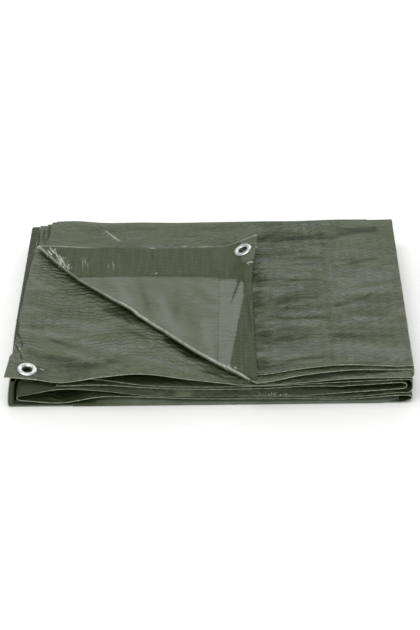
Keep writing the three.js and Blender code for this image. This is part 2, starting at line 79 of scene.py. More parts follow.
CREST = {"x": -160, "y": 132, "width": 26, "depth": 16, "height": 3.5}

ACROSS = [-205, -165, -120, -75, -20, 50, 100, 150, 205]
BACK_ACROSS = [-205, 0, 205]
PLIES = {
    "top": {"front": -144.4, "back": 141, "slant": 0.047, "far": [40.4, 38.6, 41.5],
            "body": [48.8, 47.8, 50.2, 51.2, 44.8, 36.0, 42.4, 45.0, 40.6],
            "edge": [48.2, 47.2, 49.6, 50.6, 44.2, 35.4, 42.0, 44.6, 40.2]},
    "under": {"front": -155.5, "back": 142, "slant": 0.085, "far": [37.6, 35.7, 38.2],
              "body": [46.2, 45.2, 47.7, 48.7, 42.2, 33.4, 40.0, 42.6, 38.2],
              "edge": [45.6, 44.6, 47.1, 48.1, 41.6, 32.4, 39.6, 42.2, 37.8]},
    "eyelet": {"front": -146, "back": 144, "slant": 0, "far": [34.6, 32.2, 34.4],
               "body": [41.0, 34.0, 39.2, 44.2, 35.8, 28.8, 31.4, 35.6, 36.0],
               "edge": [39.8, 31.6, 38.6, 42.6, 33.2, 24.4, 28.0, 32.8, 33.8]},
    "outer": {"front": -145, "back": 147, "slant": 0, "far": [30.6, 27.2, 30.0],
              "inset": [10, 8, 3, 0, 0, 0, 0, 0, 0],
              "body": [31.6, 31.2, 32.0, 29.2, 27.0, 26.0, 27.8, 30.4, 32.6],
              "edge": [31.4, 31.0, 31.2, 25.8, 22.5, 22.4, 24.9, 27.5, 30.0]},
    "loose": {"front": -146, "back": 148, "slant": 0, "far": [25.0, 21.8, 25.4],
              "body": [29.4, 29.0, 29.8, 26.8, 24.6, 23.8, 25.4, 27.2, 29.6],
              "edge": [27.8, 26.6, 27.4, 23.3, 20.0, 19.8, 22.5, 23.0, 26.6]},
    "lens": {"front": -147.5, "back": 148.5, "slant": 0, "far": [18.8, 16.6, 19.8],
             "body": [28.6, 26.6, 27.2, 24.0, 21.8, 21.2, 19.6, 17.0, 20.2],
             "edge": [15.0, 23.2, 20.4, 13.4, 10.0, 11.4, 11.0, 14.4, 18.8]},
    "tongue": {"front": -146.5, "back": 148, "slant": 0, "far": [12.0, 11.2, 14.6],
               "body": [17.0, 17.0, 17.0, 17.0, 16.6, 16.0, 14.8, 13.2, 16.0],
               "edge": [9.0, 9.0, 9.0, 9.0, 8.6, 8.4, 7.9, 6.7, 12.4]},
    "lower": {"front": -147.5, "back": 149, "slant": 0, "far": [6.6, 5.8, 8.8],
              "body": [7.8, 4.6, 13.6, 12.8, 9.8, 9.2, 8.4, 7.6, 10.4],
              "edge": [7.0, 3.4, 11.6, 10.8, 7.4, 6.3, 5.7, 4.6, 9.4]},
    "floor": {"front": -149.5, "back": 151.5, "slant": 0},
}
DOUBLED = {"left": -152, "right": 206, "reach": 58, "hold": 9, "rim": 2.2, "bulge": 1.6,
           "end_from": 188, "end_back": 5, "hidden": 2.25, "hidden_share": 0.3, "round_steps": 7,
           "shade_left": 0.95, "tone": 0.3, "shade_run": 90, "ripple": 0.1,
           "places": [-152, -134, -118, -75, -20, 50, 100, 150, 205],
           "body": [2.3, 4.6, 8.8, 8.6, 5.4, 4.4, 3.9, 2.75, 6.4]}
LEFT_FOLDS = {
    "outer": {"near": -217.6, "far": -210, "reach": 6.5, "square": 0.3, "lean": 4},
    "lens": {"near": -205, "far": -200, "reach": 8, "square": 1},
}
RIGHT_FOLDS = {
    "top": {"near": 217.4, "far": 223.2, "reach": 4, "square": 0.8},
    "loose": {"near": 208, "far": 208, "reach": 6, "square": 1},
    "outer": {"near": 213.5, "far": 216, "reach": 7, "square": 0.6},
    "lower": {"near": 214, "far": 214, "reach": 11.4, "square": 1},
}
LEAN_FADE = 3                 # the lean of the tall left fold is gone at one third of the depth
TOP_RIGHT_INSET = 1
FLOOR_RIGHT = 204
LOOSE_END = -168
TONGUE_END = 30
TOP_LEFT = {"top": (-194, -189), "under": (-200, -195)}
EYELET_EDGE_Y = [-146, -130, -119, -110.5, -106, -92, -35, 10, 144]
EYELET_EDGE_X = [-224.3, -222.7, -221.5, -220.8, -217.6, -216.4, -215.6, -212.8, -204.5]
# Cloth turned in across the front of the tall left fold: the shares of that fold between which it runs, and
# how far each of its points stands in from the fold and back from the front
TURN_IN = {"from": 1 / 7, "to": 5 / 7, "right": [0, 0, 0.6, 1.6, 3.0, 4.6, 5.8, 6.4, 6.8],
           "back": [8, 1, 0.1, -0.2, -0.2, 0.2, 1.4, 3.2, 8], "steps": 28}
BACK_FOLD = {"left": -184, "right": 196, "hold": 9, "reach": 2.2}
NEAR_END = 1                  # how far in from its end a folded ply starts to turn

# Creases, from (x0, y0) to (x1, y1): half their width, and height, below zero for a trough
CREASES = {
    "top": [
        (57, -131, 123, -122, 2.6, -0.5), (58, -50, 136, -52, 2.6, -0.55), (136, -52, 198, -48, 2.8, -0.3),
        (150, 44, 199, 63, 4, -0.5), (146, -30, 186, -10, 4.5, -0.6), (82, -15, 128, -11, 4, -0.5),
        (87, -31, 126, -32, 3, -0.4), (86, 63, 133, 65, 4, -0.45), (89, 20, 130, 22, 4, -0.5),
        (60, 106, 136, 111, 7, -0.6), (139, 105, 202, 122, 6, -0.6), (100, 89, 126, 84, 3, -0.3),
        (63, -81, 122, -90, 9, -0.4), (141, -89, 200, -92, 9, -0.4), (177, -46, 202, -46, 4, -0.4),
        (60, -56, 127, -59, 3, 0.5), (88, -41, 128, -46, 3, 0.4), (146, -9, 208, 4, 5, 0.5),
        (152, 11, 210, 23, 5, 0.4), (138, -109, 213, -115, 9, 0.4), (57, -109, 121, -104, 9, 0.35),
        (139, 96, 133, -128, 2.6, -0.3), (102, 128, 150, 135, 3, 0.3), (108, 41, 162, 52, 4, 0.4),
        (61, 1, 106, 6, 4, 0.45), (63, 36, 86, 39, 4, 0.4), (-126, 122, -105, 98, 2.2, 1.1),
    ],
    "eyelet": [
        (-118, -24, -86, -46, 5, -0.3), (-46, -84, -18, -106, 6, -0.3),
        (-206, 30, -182, 14, 4, 0.5), (-207, 7, -185, 10, 3, -0.4),
        (-206, -15, -170, -23, 4, -0.4), (-201, -58, -187, -56, 2.6, -0.5), (-211, -64, -172, -71, 3, 0.5),
        (-180, -75, -143, -94, 4, -0.4), (-143, -82, -89, -111, 4, 0.6), (-155, -102, -102, -133, 4, 0.5),
        (-119, -89, -70, -103, 3, 0.5), (-170, -45, -124, -60, 5, 0.5), (-155, -121, -111, -123, 5, -0.5),
        (-200, -103, -150, -111, 6, -0.5), (-99, -62, -56, -97, 5, -0.5), (-67, -90, -12, -128, 4, 0.5),
        (-23, -125, 31, -146, 3, -0.5), (-89, -117, -29, -133, 4, 0.45),
    ],
    "flap": [
        (39, 34, 24, -22, 2.4, -0.5), (39, 33, 44, 1, 2.2, -0.5), (44, 1, 46, -73, 2.2, -0.5),
        (38, -5, 18, -135, 3, 0.7), (-37, 14, -39, -60, 6, -0.25), (-16, 3, 1, -21, 5, -0.3),
        (-103, 6, -93, -33, 5, 0.5), (-56, -23, -36, -88, 5, 0.5), (-22, -46, -16, -103, 7, -0.25),
        (-128, 51, -122, 8, 4, -0.3), (-6, -60, 3, -127, 4, 0.4), (-80, 11, -67, -56, 5, -0.4),
    ],
    "loose": [(141, -147, 141, -140, 5, -1.2), (60, -147, 66, -138, 6, -0.4)],
    "lens": [(96, -148, 96, -140, 6, -0.6), (-30, -148, -26, -140, 8, 0.5)],
}
# How green rather than grey the film is painted, from 0 to 1, before its creases and panels are counted in:
# grey is a painted reflection of the lights and the white surroundings, deep green a painted shade, and the
# film's own olive lies between
PLY_SHEEN_TO_SHADE = {"top": 0.42, "eyelet": 0.45, "flap": 0.42, "under": 0.75, "outer": 1.0, "loose": 1.0,
            "lens": 1.0, "tongue": 0.95, "lower": 0.85, "floor": 0.3, "turned_in": 1.0, "back_fold": 0.6}
SHEEN_TO_SHADE_PER_MM = 0.75            # a trough is painted this much greener per millimetre, as painted shade, a ridge greyer, as painted reflection
# Panels of painted shade, greener, among them painted shadows right of the turned corner's edge, under the
# diagonal fold and beside the top's left edge, and of painted reflection, greyer: near and far y, left edge
# at each, right edge at each, softness, tone, below zero for painted reflection
SHEEN_AND_SHADE_PANELS = {
    "top": [(-140, 60, 44, 46, 60, 66, 22, 0.35), (96, 141, -190, -190, 222, 222, 16, 0.14)],
    "eyelet": [(-60, -24, -88, -124, -50, -80, 3, 0.45), (-116, -82, -17, -54, 10, -30, 3, 0.4),
               (-150, -120, -190, -200, -60, -60, 20, 0.2)],
    "flap": [(-135, 20, 7, 12, 17, 42, 4, -0.28), (-152, 20, 17, 42, 50, 54, 2, 0.42),
             (24, 92, -200, -200, 38, 38, 2, 0.4), (20, 46, 38, 38, 56, 58, 3, 0.3)],
    "under": [(90, 142, -199, -194, -192, -187, 1.5, 0.5)],
}
# How strongly the fine ripples of the woven tapes show across each ply
RIPPLE_X = [-210, 45, 60, 120, 225]
RIPPLES = {"top": [0.35, 0.7, 1.6, 1.0, 0.65], "eyelet": [0.6, 0.4, 0.4, 0.4, 0.4]}
PLAIN_RIPPLES = [0.25] * len(RIPPLE_X)
FLAP_RIPPLE = 0.12
END_RIPPLE = 0.2

# Gentle waves over the whole of a ply: how high, and the shortest and longest run across and in depth
WAVES = {
    "top": {"seed": 5, "height": 0.30, "across": (70, 260), "deep": (14, 40)},
    "eyelet": {"seed": 11, "height": 0.32, "across": (60, 220), "deep": (16, 46)},
    "flap": {"seed": 23, "height": 0.24, "across": (40, 160), "deep": (40, 120)},
}
WAVE_COUNT = 14

# Worn, crinkled places, whose crinkles also carry painted glints: middle, reach across and in depth,
# strength
CRINKLES = {
    "flap": [
        (-185, 76, 8, 10, 0.75), (-174, 58, 8, 12, 0.8), (-166, 46, 6, 8, 0.7), (-147, 54, 9, 16, 0.32),
        (-113, 47, 4, 10, 0.35), (19, -136, 14, 5, 0.8), (48, 44, 4, 3, 0.5),
    ],
    "eyelet": [(-133, -146, 4, 1.2, 0.7), (-121, -145, 3, 1.2, 0.6), (-129, -140, 3, 2, 0.5),
               (-194, -146, 5, 1.6, 0.8), (-182, -132, 5, 1.2, 0.6)],
    "loose": [(152, -146, 6, 1.2, 0.5), (196, -146, 4, 1.4, 0.5)],
    "lens": [(70, -147, 26, 1.6, 0.5), (130, -147, 6, 1.0, 0.3)],
    "lower": [(169, -147, 5, 1.4, 0.5), (204, -147, 5, 1.4, 0.5)],
}
# Painted glints and highlights, with some wear, as thin lines on what shows from above: from (x0, y0) to
# (x1, y1), half their width, strength
GLINT_AND_WEAR_LINES = [
    (-192, 81.6, -185.8, 68.8, 0.8, 0.9), (-189.5, 85.7, -183.1, 77.1, 0.8, 0.8),
    (-182.7, 77.1, -172.7, 50.5, 1.1, 1), (-177.1, 70.1, -171.4, 54.7, 1, 0.9),
    (-172.9, 61.7, -168.1, 43.5, 0.9, 0.9), (-167.9, 50.5, -164, 39.3, 0.8, 0.7),
    (-184.2, 88.1, -176.7, 91, 0.7, 0.8), (-169.9, 86.4, -166.7, 87.9, 0.9, 0.9),
    (-164.4, 86.2, -161.7, 86.9, 0.9, 0.9), (-159.6, 87.5, -154.3, 89.2, 0.8, 0.7),
    (-148.9, 63.7, -147.4, 38.3, 0.8, 0.25), (-146.2, 65.1, -144, 45, 0.7, 0.2),
    (-142.5, 53.4, -141.9, 40.8, 0.7, 0.2), (-113.1, 57.4, -110.9, 37.4, 0.9, 0.3),
    (-118, 49.2, -117.5, 42.1, 0.7, 0.25), (-71.7, 83.4, -61.8, 81.4, 0.8, 0.7),
    (-61.8, 81.7, -30.7, 90.2, 0.6, 0.35), (-31.5, 89.8, -24.9, 91.9, 0.8, 0.8),
    (-15.9, 89.5, 8.6, 91.8, 0.6, 0.5), (-63.2, 29.1, -59.7, 31.2, 0.8, 0.6),
    (48.3, 44.2, 52.2, 42.8, 1, 0.9), (44.3, 45.1, 47.7, 41.1, 0.7, 0.5),
    (54.3, 90, 60.2, 90.5, 1, 0.9), (-188.2, -127.5, -182, -130.1, 0.6, 0.8),
    (-219.2, -83.1, -217.2, -85.9, 1, 0.8), (-212, -97.2, -210.9, -101, 0.8, 0.5),
    (-125.5, 125.4, -104.7, 99.2, 0.9, 0.9),
]
# Painted shade and shadow as thin dark lines: in creases, under the diagonal fold, beside the turned
# corner's right edge and along the edges of plies; same columns as above
SHADE_LINES = [
    (-139, 143, -125, 125.6, 0.9, 0.6), (-185.3, 79.1, -177.9, 64, 0.7, 0.9),
    (-179.5, 71.5, -172.4, 53.3, 0.7, 0.9), (-174.2, 64.6, -169.7, 49.1, 0.7, 0.9),
    (-169.9, 52.7, -165.6, 38.7, 0.6, 0.8), (-191.5, 86.6, -188.4, 78.2, 0.6, 0.8),
    (-69.6, 76.6, -62.2, 50.7, 0.7, 0.6), (-62.2, 50.7, -58.1, 26.7, 0.7, 0.6),
    (39.6, 60.2, 38, 36.8, 0.6, 0.7),
    (39.2, 34, 24.3, -22.5, 0.8, 1), (39.1, 33, 43.4, 1.2, 0.8, 1), (43.4, 1.2, 45.8, -73.1, 0.8, 0.8),
    (50.8, 20.2, 46.7, -25.7, 0.7, 0.6), (50.4, -10.2, 49.9, -88.5, 0.6, 0.7),
    (56.7, 59.1, 65.3, 59, 0.7, 0.8), (56.2, 47.4, 65.5, 45.9, 0.8, 0.9),
    (55.6, 38.9, 64.3, 35.4, 0.9, 0.9), (54.9, 31.1, 64.5, 30, 0.7, 0.8),
    (54.6, 21.4, 63.7, 21, 0.8, 0.9), (54.2, 11.6, 63.3, 11.8, 0.8, 0.9),
    (53.5, 2.1, 62.9, 1.9, 0.8, 0.9), (52.8, -6.9, 60.4, -7.1, 0.8, 0.8),
    (52.5, -16.2, 60, -16, 0.7, 0.7), (61.7, -42.3, 93.9, -51.5, 0.7, 0.6),
    (93.9, -51.5, 129.7, -49.3, 0.7, 0.6), (50.9, -118.7, 52.9, -135.9, 1.1, 0.7),
    (-216.4, -68.7, -210.9, -83.3, 1.2, 1), (-210.9, -83.3, -208.1, -97.6, 1.2, 1),
    (-216.7, -91.2, -210.5, -105.7, 1.1, 0.9), (-210.5, -105.7, -207.3, -116.8, 1.1, 0.9),
    (-207.2, 96, -214.1, 34.8, 0.9, 0.9), (-213.6, 34.8, -216, -38.9, 0.9, 0.9),
    (-216, -38.9, -216.4, -83.6, 0.9, 0.8), (-191.7, 143.3, -192.8, 100.6, 1.5, 1),
    (-199.1, 142.7, -199.3, 105.5, 1.1, 0.9), (-205.6, 139.7, -204.7, 89.9, 1.2, 0.9),
    (-124.5, -27.2, -108.6, -32.6, 0.9, 0.8), (-108.6, -32.6, -100.6, -38.6, 1.2, 0.9),
    (-101.4, -37.6, -88, -58.1, 1.3, 0.9), (-54.2, -81.6, -37.4, -100.2, 1.4, 0.7),
    (-37.4, -100.2, -18.5, -114, 1.4, 0.8),
]
STROKE_SPREAD = 1.3           # a stroke fades out at this many times its half width
STROKE_GAIN = 2.0
STROKE_TALL = 1000            # strokes go straight down through the plies
# Pale wear and painted highlight along the diagonal fold, at places along it, and along the far edge of the
# turned corner
FOLD_HIGHLIGHT_AND_WEAR_Y = [-151, -132, -112, -96, -60, -34, -10, 20, 44, 70, 89]
FOLD_HIGHLIGHT_AND_WEAR = [0.9, 1.0, 0.75, 0.65, 1.0, 1.0, 0.7, 0.4, 0.45, 0.7, 0.9]
FOLD_HIGHLIGHT_AND_WEAR_HALF = 0.8               # half the width of the wear and painted highlight
FOLD_HIGHLIGHT_AND_WEAR_AT = -1.2           # where it runs, in from where the fold starts
FAR_HIGHLIGHT_AND_WEAR_X = [-201, -190, -150, -128, -90, -70, 0, 58]
FAR_HIGHLIGHT_AND_WEAR = [1.0, 0.9, 0.75, 0.0, 0.1, 0.3, 0.2, 0.6]
FAR_HIGHLIGHT_AND_WEAR_HALF = 1.1
FLAP_RIM_HIGHLIGHT_AND_WEAR = 0.2                # how pale the turned corner's rim is painted beside the other rims, a painted highlight with wear

# Fineness
FRONT_ROWS = [0, 0.7, 1.6, 2.8, 4.4, 6.4, 9, 12, 16, 21]
DEPTH = 290
FINE_ROWS = 84
COARSE_ROWS = 10
NOSE_STEPS = 8
TALL_NOSE_STEPS = 12
FLAP_ROWS = 104
COLUMNS = {"top_left": 30, "top": 66, "under": 30, "eyelet_right": 22, "eyelet": 88, "loose": 64,
           "lens": 70, "lower": 64, "floor": 30, "outer": 64, "tongue": 30, "flap": 62, "flap_right": 17,
           "back_fold": 90, "doubled": 80}
# Where the left end of the top stands, and the share of the top that its left columns cover there
TOP_LEFT_SHARE = ([-190, 40], [0.42, 0.08])
EYELET_FINE_FROM = 50
FLAP_FINE_FROM = 0.86         # share of the turned corner's width past which its columns are closer
BESIDE_FOLD = [0.5, 1.0, 1.6, 2.4, 3.4, 4.6]
BESIDE_SHARE = 0.3            # the columns beside the fold take this share of the width at most
TIP_ROWS = 0.004              # a row stands this share of the depth before the tip, and one after it
EDGE_PASSES = 12              # passes that find where a slanted row meets a slanted edge
RIM_TURNS = (math.pi / 4, 0, -math.pi / 4)
HOLE_RADIUS = 7.6             # cloth left open under an eyelet
LATHE_STEPS = 72

# Eyelets, as radius and height over the middle of the cloth
EYELET_OUTLINE = [
    (5.4, -2.9), (6.2, -3.1), (7.4, -3.0), (8.0, -2.6), (7.6, -2.3), (6.1, -2.2), (6.0, 0.9), (9.9, 0.9),
    (10.8, 0.8), (11.0, 1.05), (10.8, 1.45), (10.1, 1.85), (9.0, 2.15), (7.9, 2.2), (6.9, 2.0), (6.2, 1.75),
    (5.7, 1.5), (5.4, 1.1),
]
WASHER_OUTLINE = [
    (6.3, -1.5), (10.6, -1.5), (11.0, -1.3), (11.0, -1.1), (10.6, -0.95), (6.3, -0.95),
]

# Film colours, and the pitch of the woven tapes in metres: the grey is painted reflection, the deep green
# and the crease dark are painted shade, and the pale rim, line and worn colours are painted highlights and
# glints, with wear
FILM_SHEEN_GREY = (0.090, 0.104, 0.082, 1)
FILM_GREEN = (0.060, 0.078, 0.040, 1)
FILM_SHADE_DEEP = (0.018, 0.029, 0.008, 1)
HEM_GREEN = (0.013, 0.027, 0.002, 1)
HEM_LIGHT = (0.029, 0.047, 0.010, 1)
PAINTED_SHADE_DARK = (0.004, 0.006, 0.002, 1)
RIM_HIGHLIGHT_AND_WEAR = (0.31, 0.36, 0.26, 1)
HIGHLIGHT_AND_WEAR_PALE = (0.44, 0.47, 0.40, 1)
WORN_GLINT_PALE = (0.42, 0.45, 0.37, 1)
FILM_ROUGHNESS = (0.33, 0.46)  # where it looks grey, and where it looks green
FILM_IOR = 1.5
FILM_SPECULAR = 0.33
TAPE_PITCH = 0.0052
WRINKLE_PITCH = 0.0068        # ripples that run across the plies, and the length of one zig or zag
ZIGZAG_LENGTH = 0.0058
ZIGZAG_SWING = 0.30           # in ripples
# Patterns in the film: repeats per metre across and in depth, turn, detail, roughness and distortion
PATTERNS = {
    "hem_shade": ((240, 22, 1), 0.0, 3.0, 0.6, 0.0),
    "hem_ribs": ((260, 34, 1), 0.0, 2.0, 0.5, 0.3),
    "streaks": ((170, 620, 1), 1.2, 3.0, 0.6, 0.6),
    "kinks": ((150, 150, 1), 0.0, 3.0, 0.7, 0.0),
    "bands": ((6, 34, 1), 0.05, 3.0, 0.55, 0.6),
    "mottle": ((16, 22, 1), 0.6, 4.0, 0.6, 1.0),
    "fine_bands": ((28, 120, 1), 0.0, 2.0, 0.6, 0.4),
    "furrows": ((30, 130, 1), 0.0, 1.5, 0.5, 0.9),
    "drift": ((18, 26, 1), 0.0, 3.0, 0.55, 0.0),
    "strength": ((14, 30, 1), 0.0, 2.0, 0.5, 0.0),
}

# Camera, at the photograph's angle
CAMERA_PLACE = (-0.02302, -1.44982, 1.16045)
CAMERA_TILT = 51.5
CAMERA_TURN = -0.95
CAMERA_LENS = 90.44
CAMERA_SENSOR = 36

# Light: place, size across and up, power, colour
WORLD_COLOUR = (1, 1, 0.98, 1)
WORLD_STRENGTH = 0.75
LIGHTS = {
    "back_softbox": ((0.3, 2.2, 1.7), (3.0, 0.9), 14, (1, 1, 0.98)),
    "top_softbox": ((-0.4, -0.2, 2.6), (2.0, 2.0), 36, (1, 1, 1)),
    "front_softbox": ((0.1, -2.4, 0.5), (2.6, 0.5), 13, (1, 1, 1)),
}
LIGHT_TARGET = (0, 0, 0.02)
FLOOR_HALF = 6


def mix(a, b, t):
    return a + (b - a) * t


def smooth(t):
    s = np.clip(t, 0, 1)
    return s * s * (3 - 2 * s)


def along(places, values, x):
    """Smooth curve through values given at places, level past either end."""
    places = np.asarray(places, float)
    values = np.asarray(values, float)
    last = len(places) - 1
    at = np.clip(x, places[0], places[last])
    i = np.clip(np.searchsorted(places, at, side="right") - 1, 0, last - 1)
    before = np.maximum(i - 1, 0)
    after = np.minimum(i + 2, last)
    run = places[i + 1] - places[i]
    t = (at - places[i]) / run
    start = (values[i + 1] - values[before]) / (places[i + 1] - places[before]) * run
    end = (values[after] - values[i]) / (places[after] - places[i]) * run
    cube = t ** 3
    square = t ** 2
    return ((2 * cube - 3 * square + 1) * values[i] + (cube - 2 * square + t) * start
            + (3 * square - 2 * cube) * values[i + 1] + (cube - square) * end)


def off_line(x, y, x0, y0, x1, y1):
    """Distance from a straight line between two places."""
    dx = x1 - x0
    dy = y1 - y0
    near = np.clip(((x - x0) * dx + (y - y0) * dy) / (dx * dx + dy * dy), 0, 1)
    return np.hypot(x - x0 - near * dx, y - y0 - near * dy)


def creases(name, x, y):
    """Height of the listed creases; where two troughs or two ridges meet they don't add up."""
    low = np.zeros(np.broadcast(x, y).shape)
    high = np.zeros(low.shape)
    for x0, y0, x1, y1, width, height in CREASES.get(name, []):
        here = height * np.exp(-(off_line(x, y, x0, y0, x1, y1) / width) ** 2)
        low = np.minimum(low, here)
        high = np.maximum(high, here)
    return low + high


def sheen_and_shade_panels(name, x, y):
    """How much the listed panels paint the film greener, as painted shade, and below zero greyer, as
    painted reflection.
    """
    total = np.zeros(np.broadcast(x, y).shape)
    for y0, y1, left0, left1, right0, right1, soft, tone in SHEEN_AND_SHADE_PANELS.get(name, []):
        left = mix(left0, left1, (y - y0) / (y1 - y0))
        right = mix(right0, right1, (y - y0) / (y1 - y0))
        inside = smooth((x - left) / soft + 0.5) * smooth((right - x) / soft + 0.5)
        inside = inside * smooth((y - y0) / soft + 0.5) * smooth((y1 - y) / soft + 0.5)
        total += tone * inside
    return total


def film_sheen_to_shade(name, x, y):
    """0 where the film is painted grey, a painted reflection of the light, 1 where it is painted deep
    green, a painted shade.
    """
    return np.clip(PLY_SHEEN_TO_SHADE.get(name, 0.5) - SHEEN_TO_SHADE_PER_MM * creases(name, x, y) + sheen_and_shade_panels(name, x, y), 0, 1)


def waves(name, x, y):
    total = np.zeros(np.broadcast(x, y).shape)
    row = WAVES.get(name)
    if row is None:
        return total
    rng = np.random.default_rng(row["seed"])
    for _ in range(WAVE_COUNT):
        across = rng.uniform(*row["across"]) * rng.choice([-1, 1])
        deep = rng.uniform(*row["deep"])
        phase = rng.uniform(0, 2 * math.pi)
        total += np.sin(2 * math.pi * (x / across + y / deep) + phase)
    return total * row["height"] * math.sqrt(2 / WAVE_COUNT)


def crest(x, y):
    across = (x - CREST["x"]) / CREST["width"]
    deep = (y - CREST["y"]) / CREST["depth"]
    return CREST["height"] * np.exp(-across ** 2 - deep ** 2)


def front_edge(ply, x):
    inset = along(ACROSS, ply["inset"], x) if "inset" in ply else 0
    return ply["front"] + ply["slant"] * x + inset


def ply_depth(name, x, t):
    ply = PLIES[name]
    return mix(front_edge(ply, x), ply["back"], t)


def plain_height(name, x, y):
    """Height of the middle of a ply, without its creases."""
    ply = PLIES[name]
    if name == "floor":
        return np.full(np.broadcast(x, y).shape, FLOOR_PLY)
    front = front_edge(ply, x)
    t = np.clip((y - front) / (ply["back"] - front), 0, 1)
    rim = PLIES["under"] if name == "top" else ply
    hang = 1 - np.clip((y - front_edge(rim, x)) / ROUND_DEPTH, 0, 1)
    body = along(ACROSS, ply["body"], x)
    z = mix(body, along(BACK_ACROSS, ply["far"], x), t) - (body - along(ACROSS, ply["edge"], x)) * hang ** 2
    if name in ("top", "under"):
        z = z + crest(x, y)
    return z


def uncovered(x, y):
    """1 where the top shows, 0 where the turned corner lies on it."""
    soft = UNCOVERED["soft"]
    return np.maximum(smooth((x - UNCOVERED["x"]) / soft), smooth((y - UNCOVERED["y"]) / soft))


def ply_height(name, x, y):
    z = plain_height(name, x, y) + creases(name, x, y)
    if name == "top":
        return z + (waves(name, x, y) + TOP_WAVE_LIFT) * uncovered(x, y)
    if name != "eyelet":
        return z
    z = z + waves(name, x, y) * smooth((y - EYELET_WAVES["from"]) / EYELET_WAVES["soft"])
    seat = FRONT_EYELET
    away = np.hypot(x - seat["x"], y - seat["y"])
    flat = 1 - smooth((away - SEAT_FLAT) / SEAT_SOFT)
    return mix(z, seat["z"] + seat["slope"] * (x - seat["x"]), flat)


def fold_line(y):
    """Where the diagonal fold runs, kinks included."""
    x = along(FOLD_Y, FOLD_X, y)
    for place, shift, reach in FOLD_KINKS:
        x = x + shift * np.exp(-((y - place) / reach) ** 2)
    return x


def flap_lift(x, y):
    """How far the turned corner stands up off the top."""
    slope = FLAP_EYELET["slope"]
    past = x - (FLAP_EYELET["x"] - FLAP_EYELET["rise"] / slope)
    bend = slope * (past + LIFT_SOFT) ** 2 / (4 * LIFT_SOFT)
    rise = np.where(past > LIFT_SOFT, slope * past, np.where(past > -LIFT_SOFT, bend, 0))
    return rise * smooth((y - LIFT_FROM_Y) / (LIFT_FULL_Y - LIFT_FROM_Y))


def hem_share(x, y):
    """1 in the hem bands of the turned corner, 0 in the rest of it."""
    far = smooth((y - np.interp(x, HEM_FAR_X, HEM_FAR_Y)) / HEM_SOFT + 0.5)
    right = smooth((x - np.interp(y, HEM_RIGHT_Y, HEM_RIGHT_X)) / HEM_SOFT + 0.5)
    return np.maximum(far, right)


def flap_base(x, y):
    return plain_height("top", x, y) + TOP_REST + flap_lift(x, y)


def flap_height(x, y):
    away = np.hypot(x - FLAP_EYELET["x"], y - FLAP_EYELET["y"])
    loose = smooth((away - SEAT_FLAT) / SEAT_SOFT)
    past_fold = smooth((x - along(FOLD_Y, FOLD_X, y)) / FLAP_WAVES_FROM_FOLD)
    own = creases("flap", x, y) + (waves("flap", x, y) + FLAP_WAVE_LIFT) * past_fold
    return flap_base(x, y) + own * loose + HEM_STEP * (hem_share(x, y) - 1) * loose + FLAP_CLEAR


def flap_far(x):
    t = np.clip((x - FLAP_TIP[0]) / (FLAP_CORNER[0] - FLAP_TIP[0]), 0, 1)
    return mix(FLAP_TIP[1], FLAP_CORNER[1], t) - FLAP_DIP * np.sin(math.pi * t)


def flap_right(y):
    return mix(FLAP_RIGHT, FLAP_CORNER[0], smooth((y - LIFT_FROM_Y) / (FLAP_CORNER[1] - LIFT_FROM_Y)))


def unit(vectors):
    return vectors / (np.linalg.norm(vectors, axis=-1, keepdims=True) + 1e-12)


def stack(x, y, z):
    return np.stack(np.broadcast_arrays(x, y, z), axis=-1).astype(float)


def spot(height, x, y):
    """One point on a surface, from the function that gives its height."""
    return np.array([x, y, float(height(np.array([x]), np.array([y]))[0])])


def under_height(x, y):
    return ply_height("under", x, y)


def fold_end(fold, t):
    """Where a side fold starts, at a share of the depth."""
    return mix(fold["near"], fold["far"], t)


def ply_row(name, xs, t):
    y = ply_depth(name, xs, t)
    return stack(xs, y, ply_height(name, xs, y))


def crinkle_wear_and_glint(name, x, y):
    """Strength of the crinkled places of a ply, for their relief and their painted glints."""
    total = np.zeros(np.broadcast(x, y).shape)
    for mid_x, mid_y, wide, deep, strength in CRINKLES.get(name, []):
        spot = strength * np.exp(-((x - mid_x) / wide) ** 2 - ((y - mid_y) / deep) ** 2)
        total = np.maximum(total, spot)
    return total


def ply_marks(rows, parts):
    """Marks for rows made of several plies; parts says how many columns each of them takes."""
    p = np.asarray(rows)
    marks = {"tone": [], "wear_and_glint": [], "ripple": []}
    start = 0
    for name, columns in parts:
        x = p[:, start:start + columns, 0]
        y = p[:, start:start + columns, 1]
        marks["tone"].append(film_sheen_to_shade(name, x, y))
        marks["wear_and_glint"].append(crinkle_wear_and_glint(name, x, y))
        marks["ripple"].append(np.interp(x, RIPPLE_X, RIPPLES.get(name, PLAIN_RIPPLES)))
        start += columns
    return {name: np.concatenate(values, axis=1) for name, values in marks.items()}


def nose(start, end, fold, side, steps=NOSE_STEPS):
    """Points of a side fold between the end of one ply and the end of the next."""
    s = np.arange(1, steps) / steps
    turn = (1 - np.cos(math.pi * s)) / 2
    points = mix(start, end, turn[:, None])
    out = fold["reach"] * np.sin(math.pi * s) ** fold["square"] - fold.get("lean", 0) * turn
    points[:, 0] = mix(start[0], end[0], s) + side * out
    return points


def show(name, data):
    """Puts a mesh, a light or a camera in the scene."""
    obj = bpy.data.objects.new(name, data)
    bpy.context.scene.collection.objects.link(obj)
    return obj


def show_smooth(name, mesh, material):
    mesh.polygons.foreach_set("use_smooth", np.ones(len(mesh.polygons), bool))
    mesh.materials.append(material)
    mesh.validate()
    mesh.update()
    return show(name, mesh)


# Marks on the points of the cloth: crinkle wear, which also carries painted glints; pale lines of painted
# highlight and wear; hem bands; rims, painted paler as highlight and wear; painted reflection to painted
# shade; and ripple strength
MARKS = ("wear_and_glint", "line", "hem", "rim", "tone", "ripple")


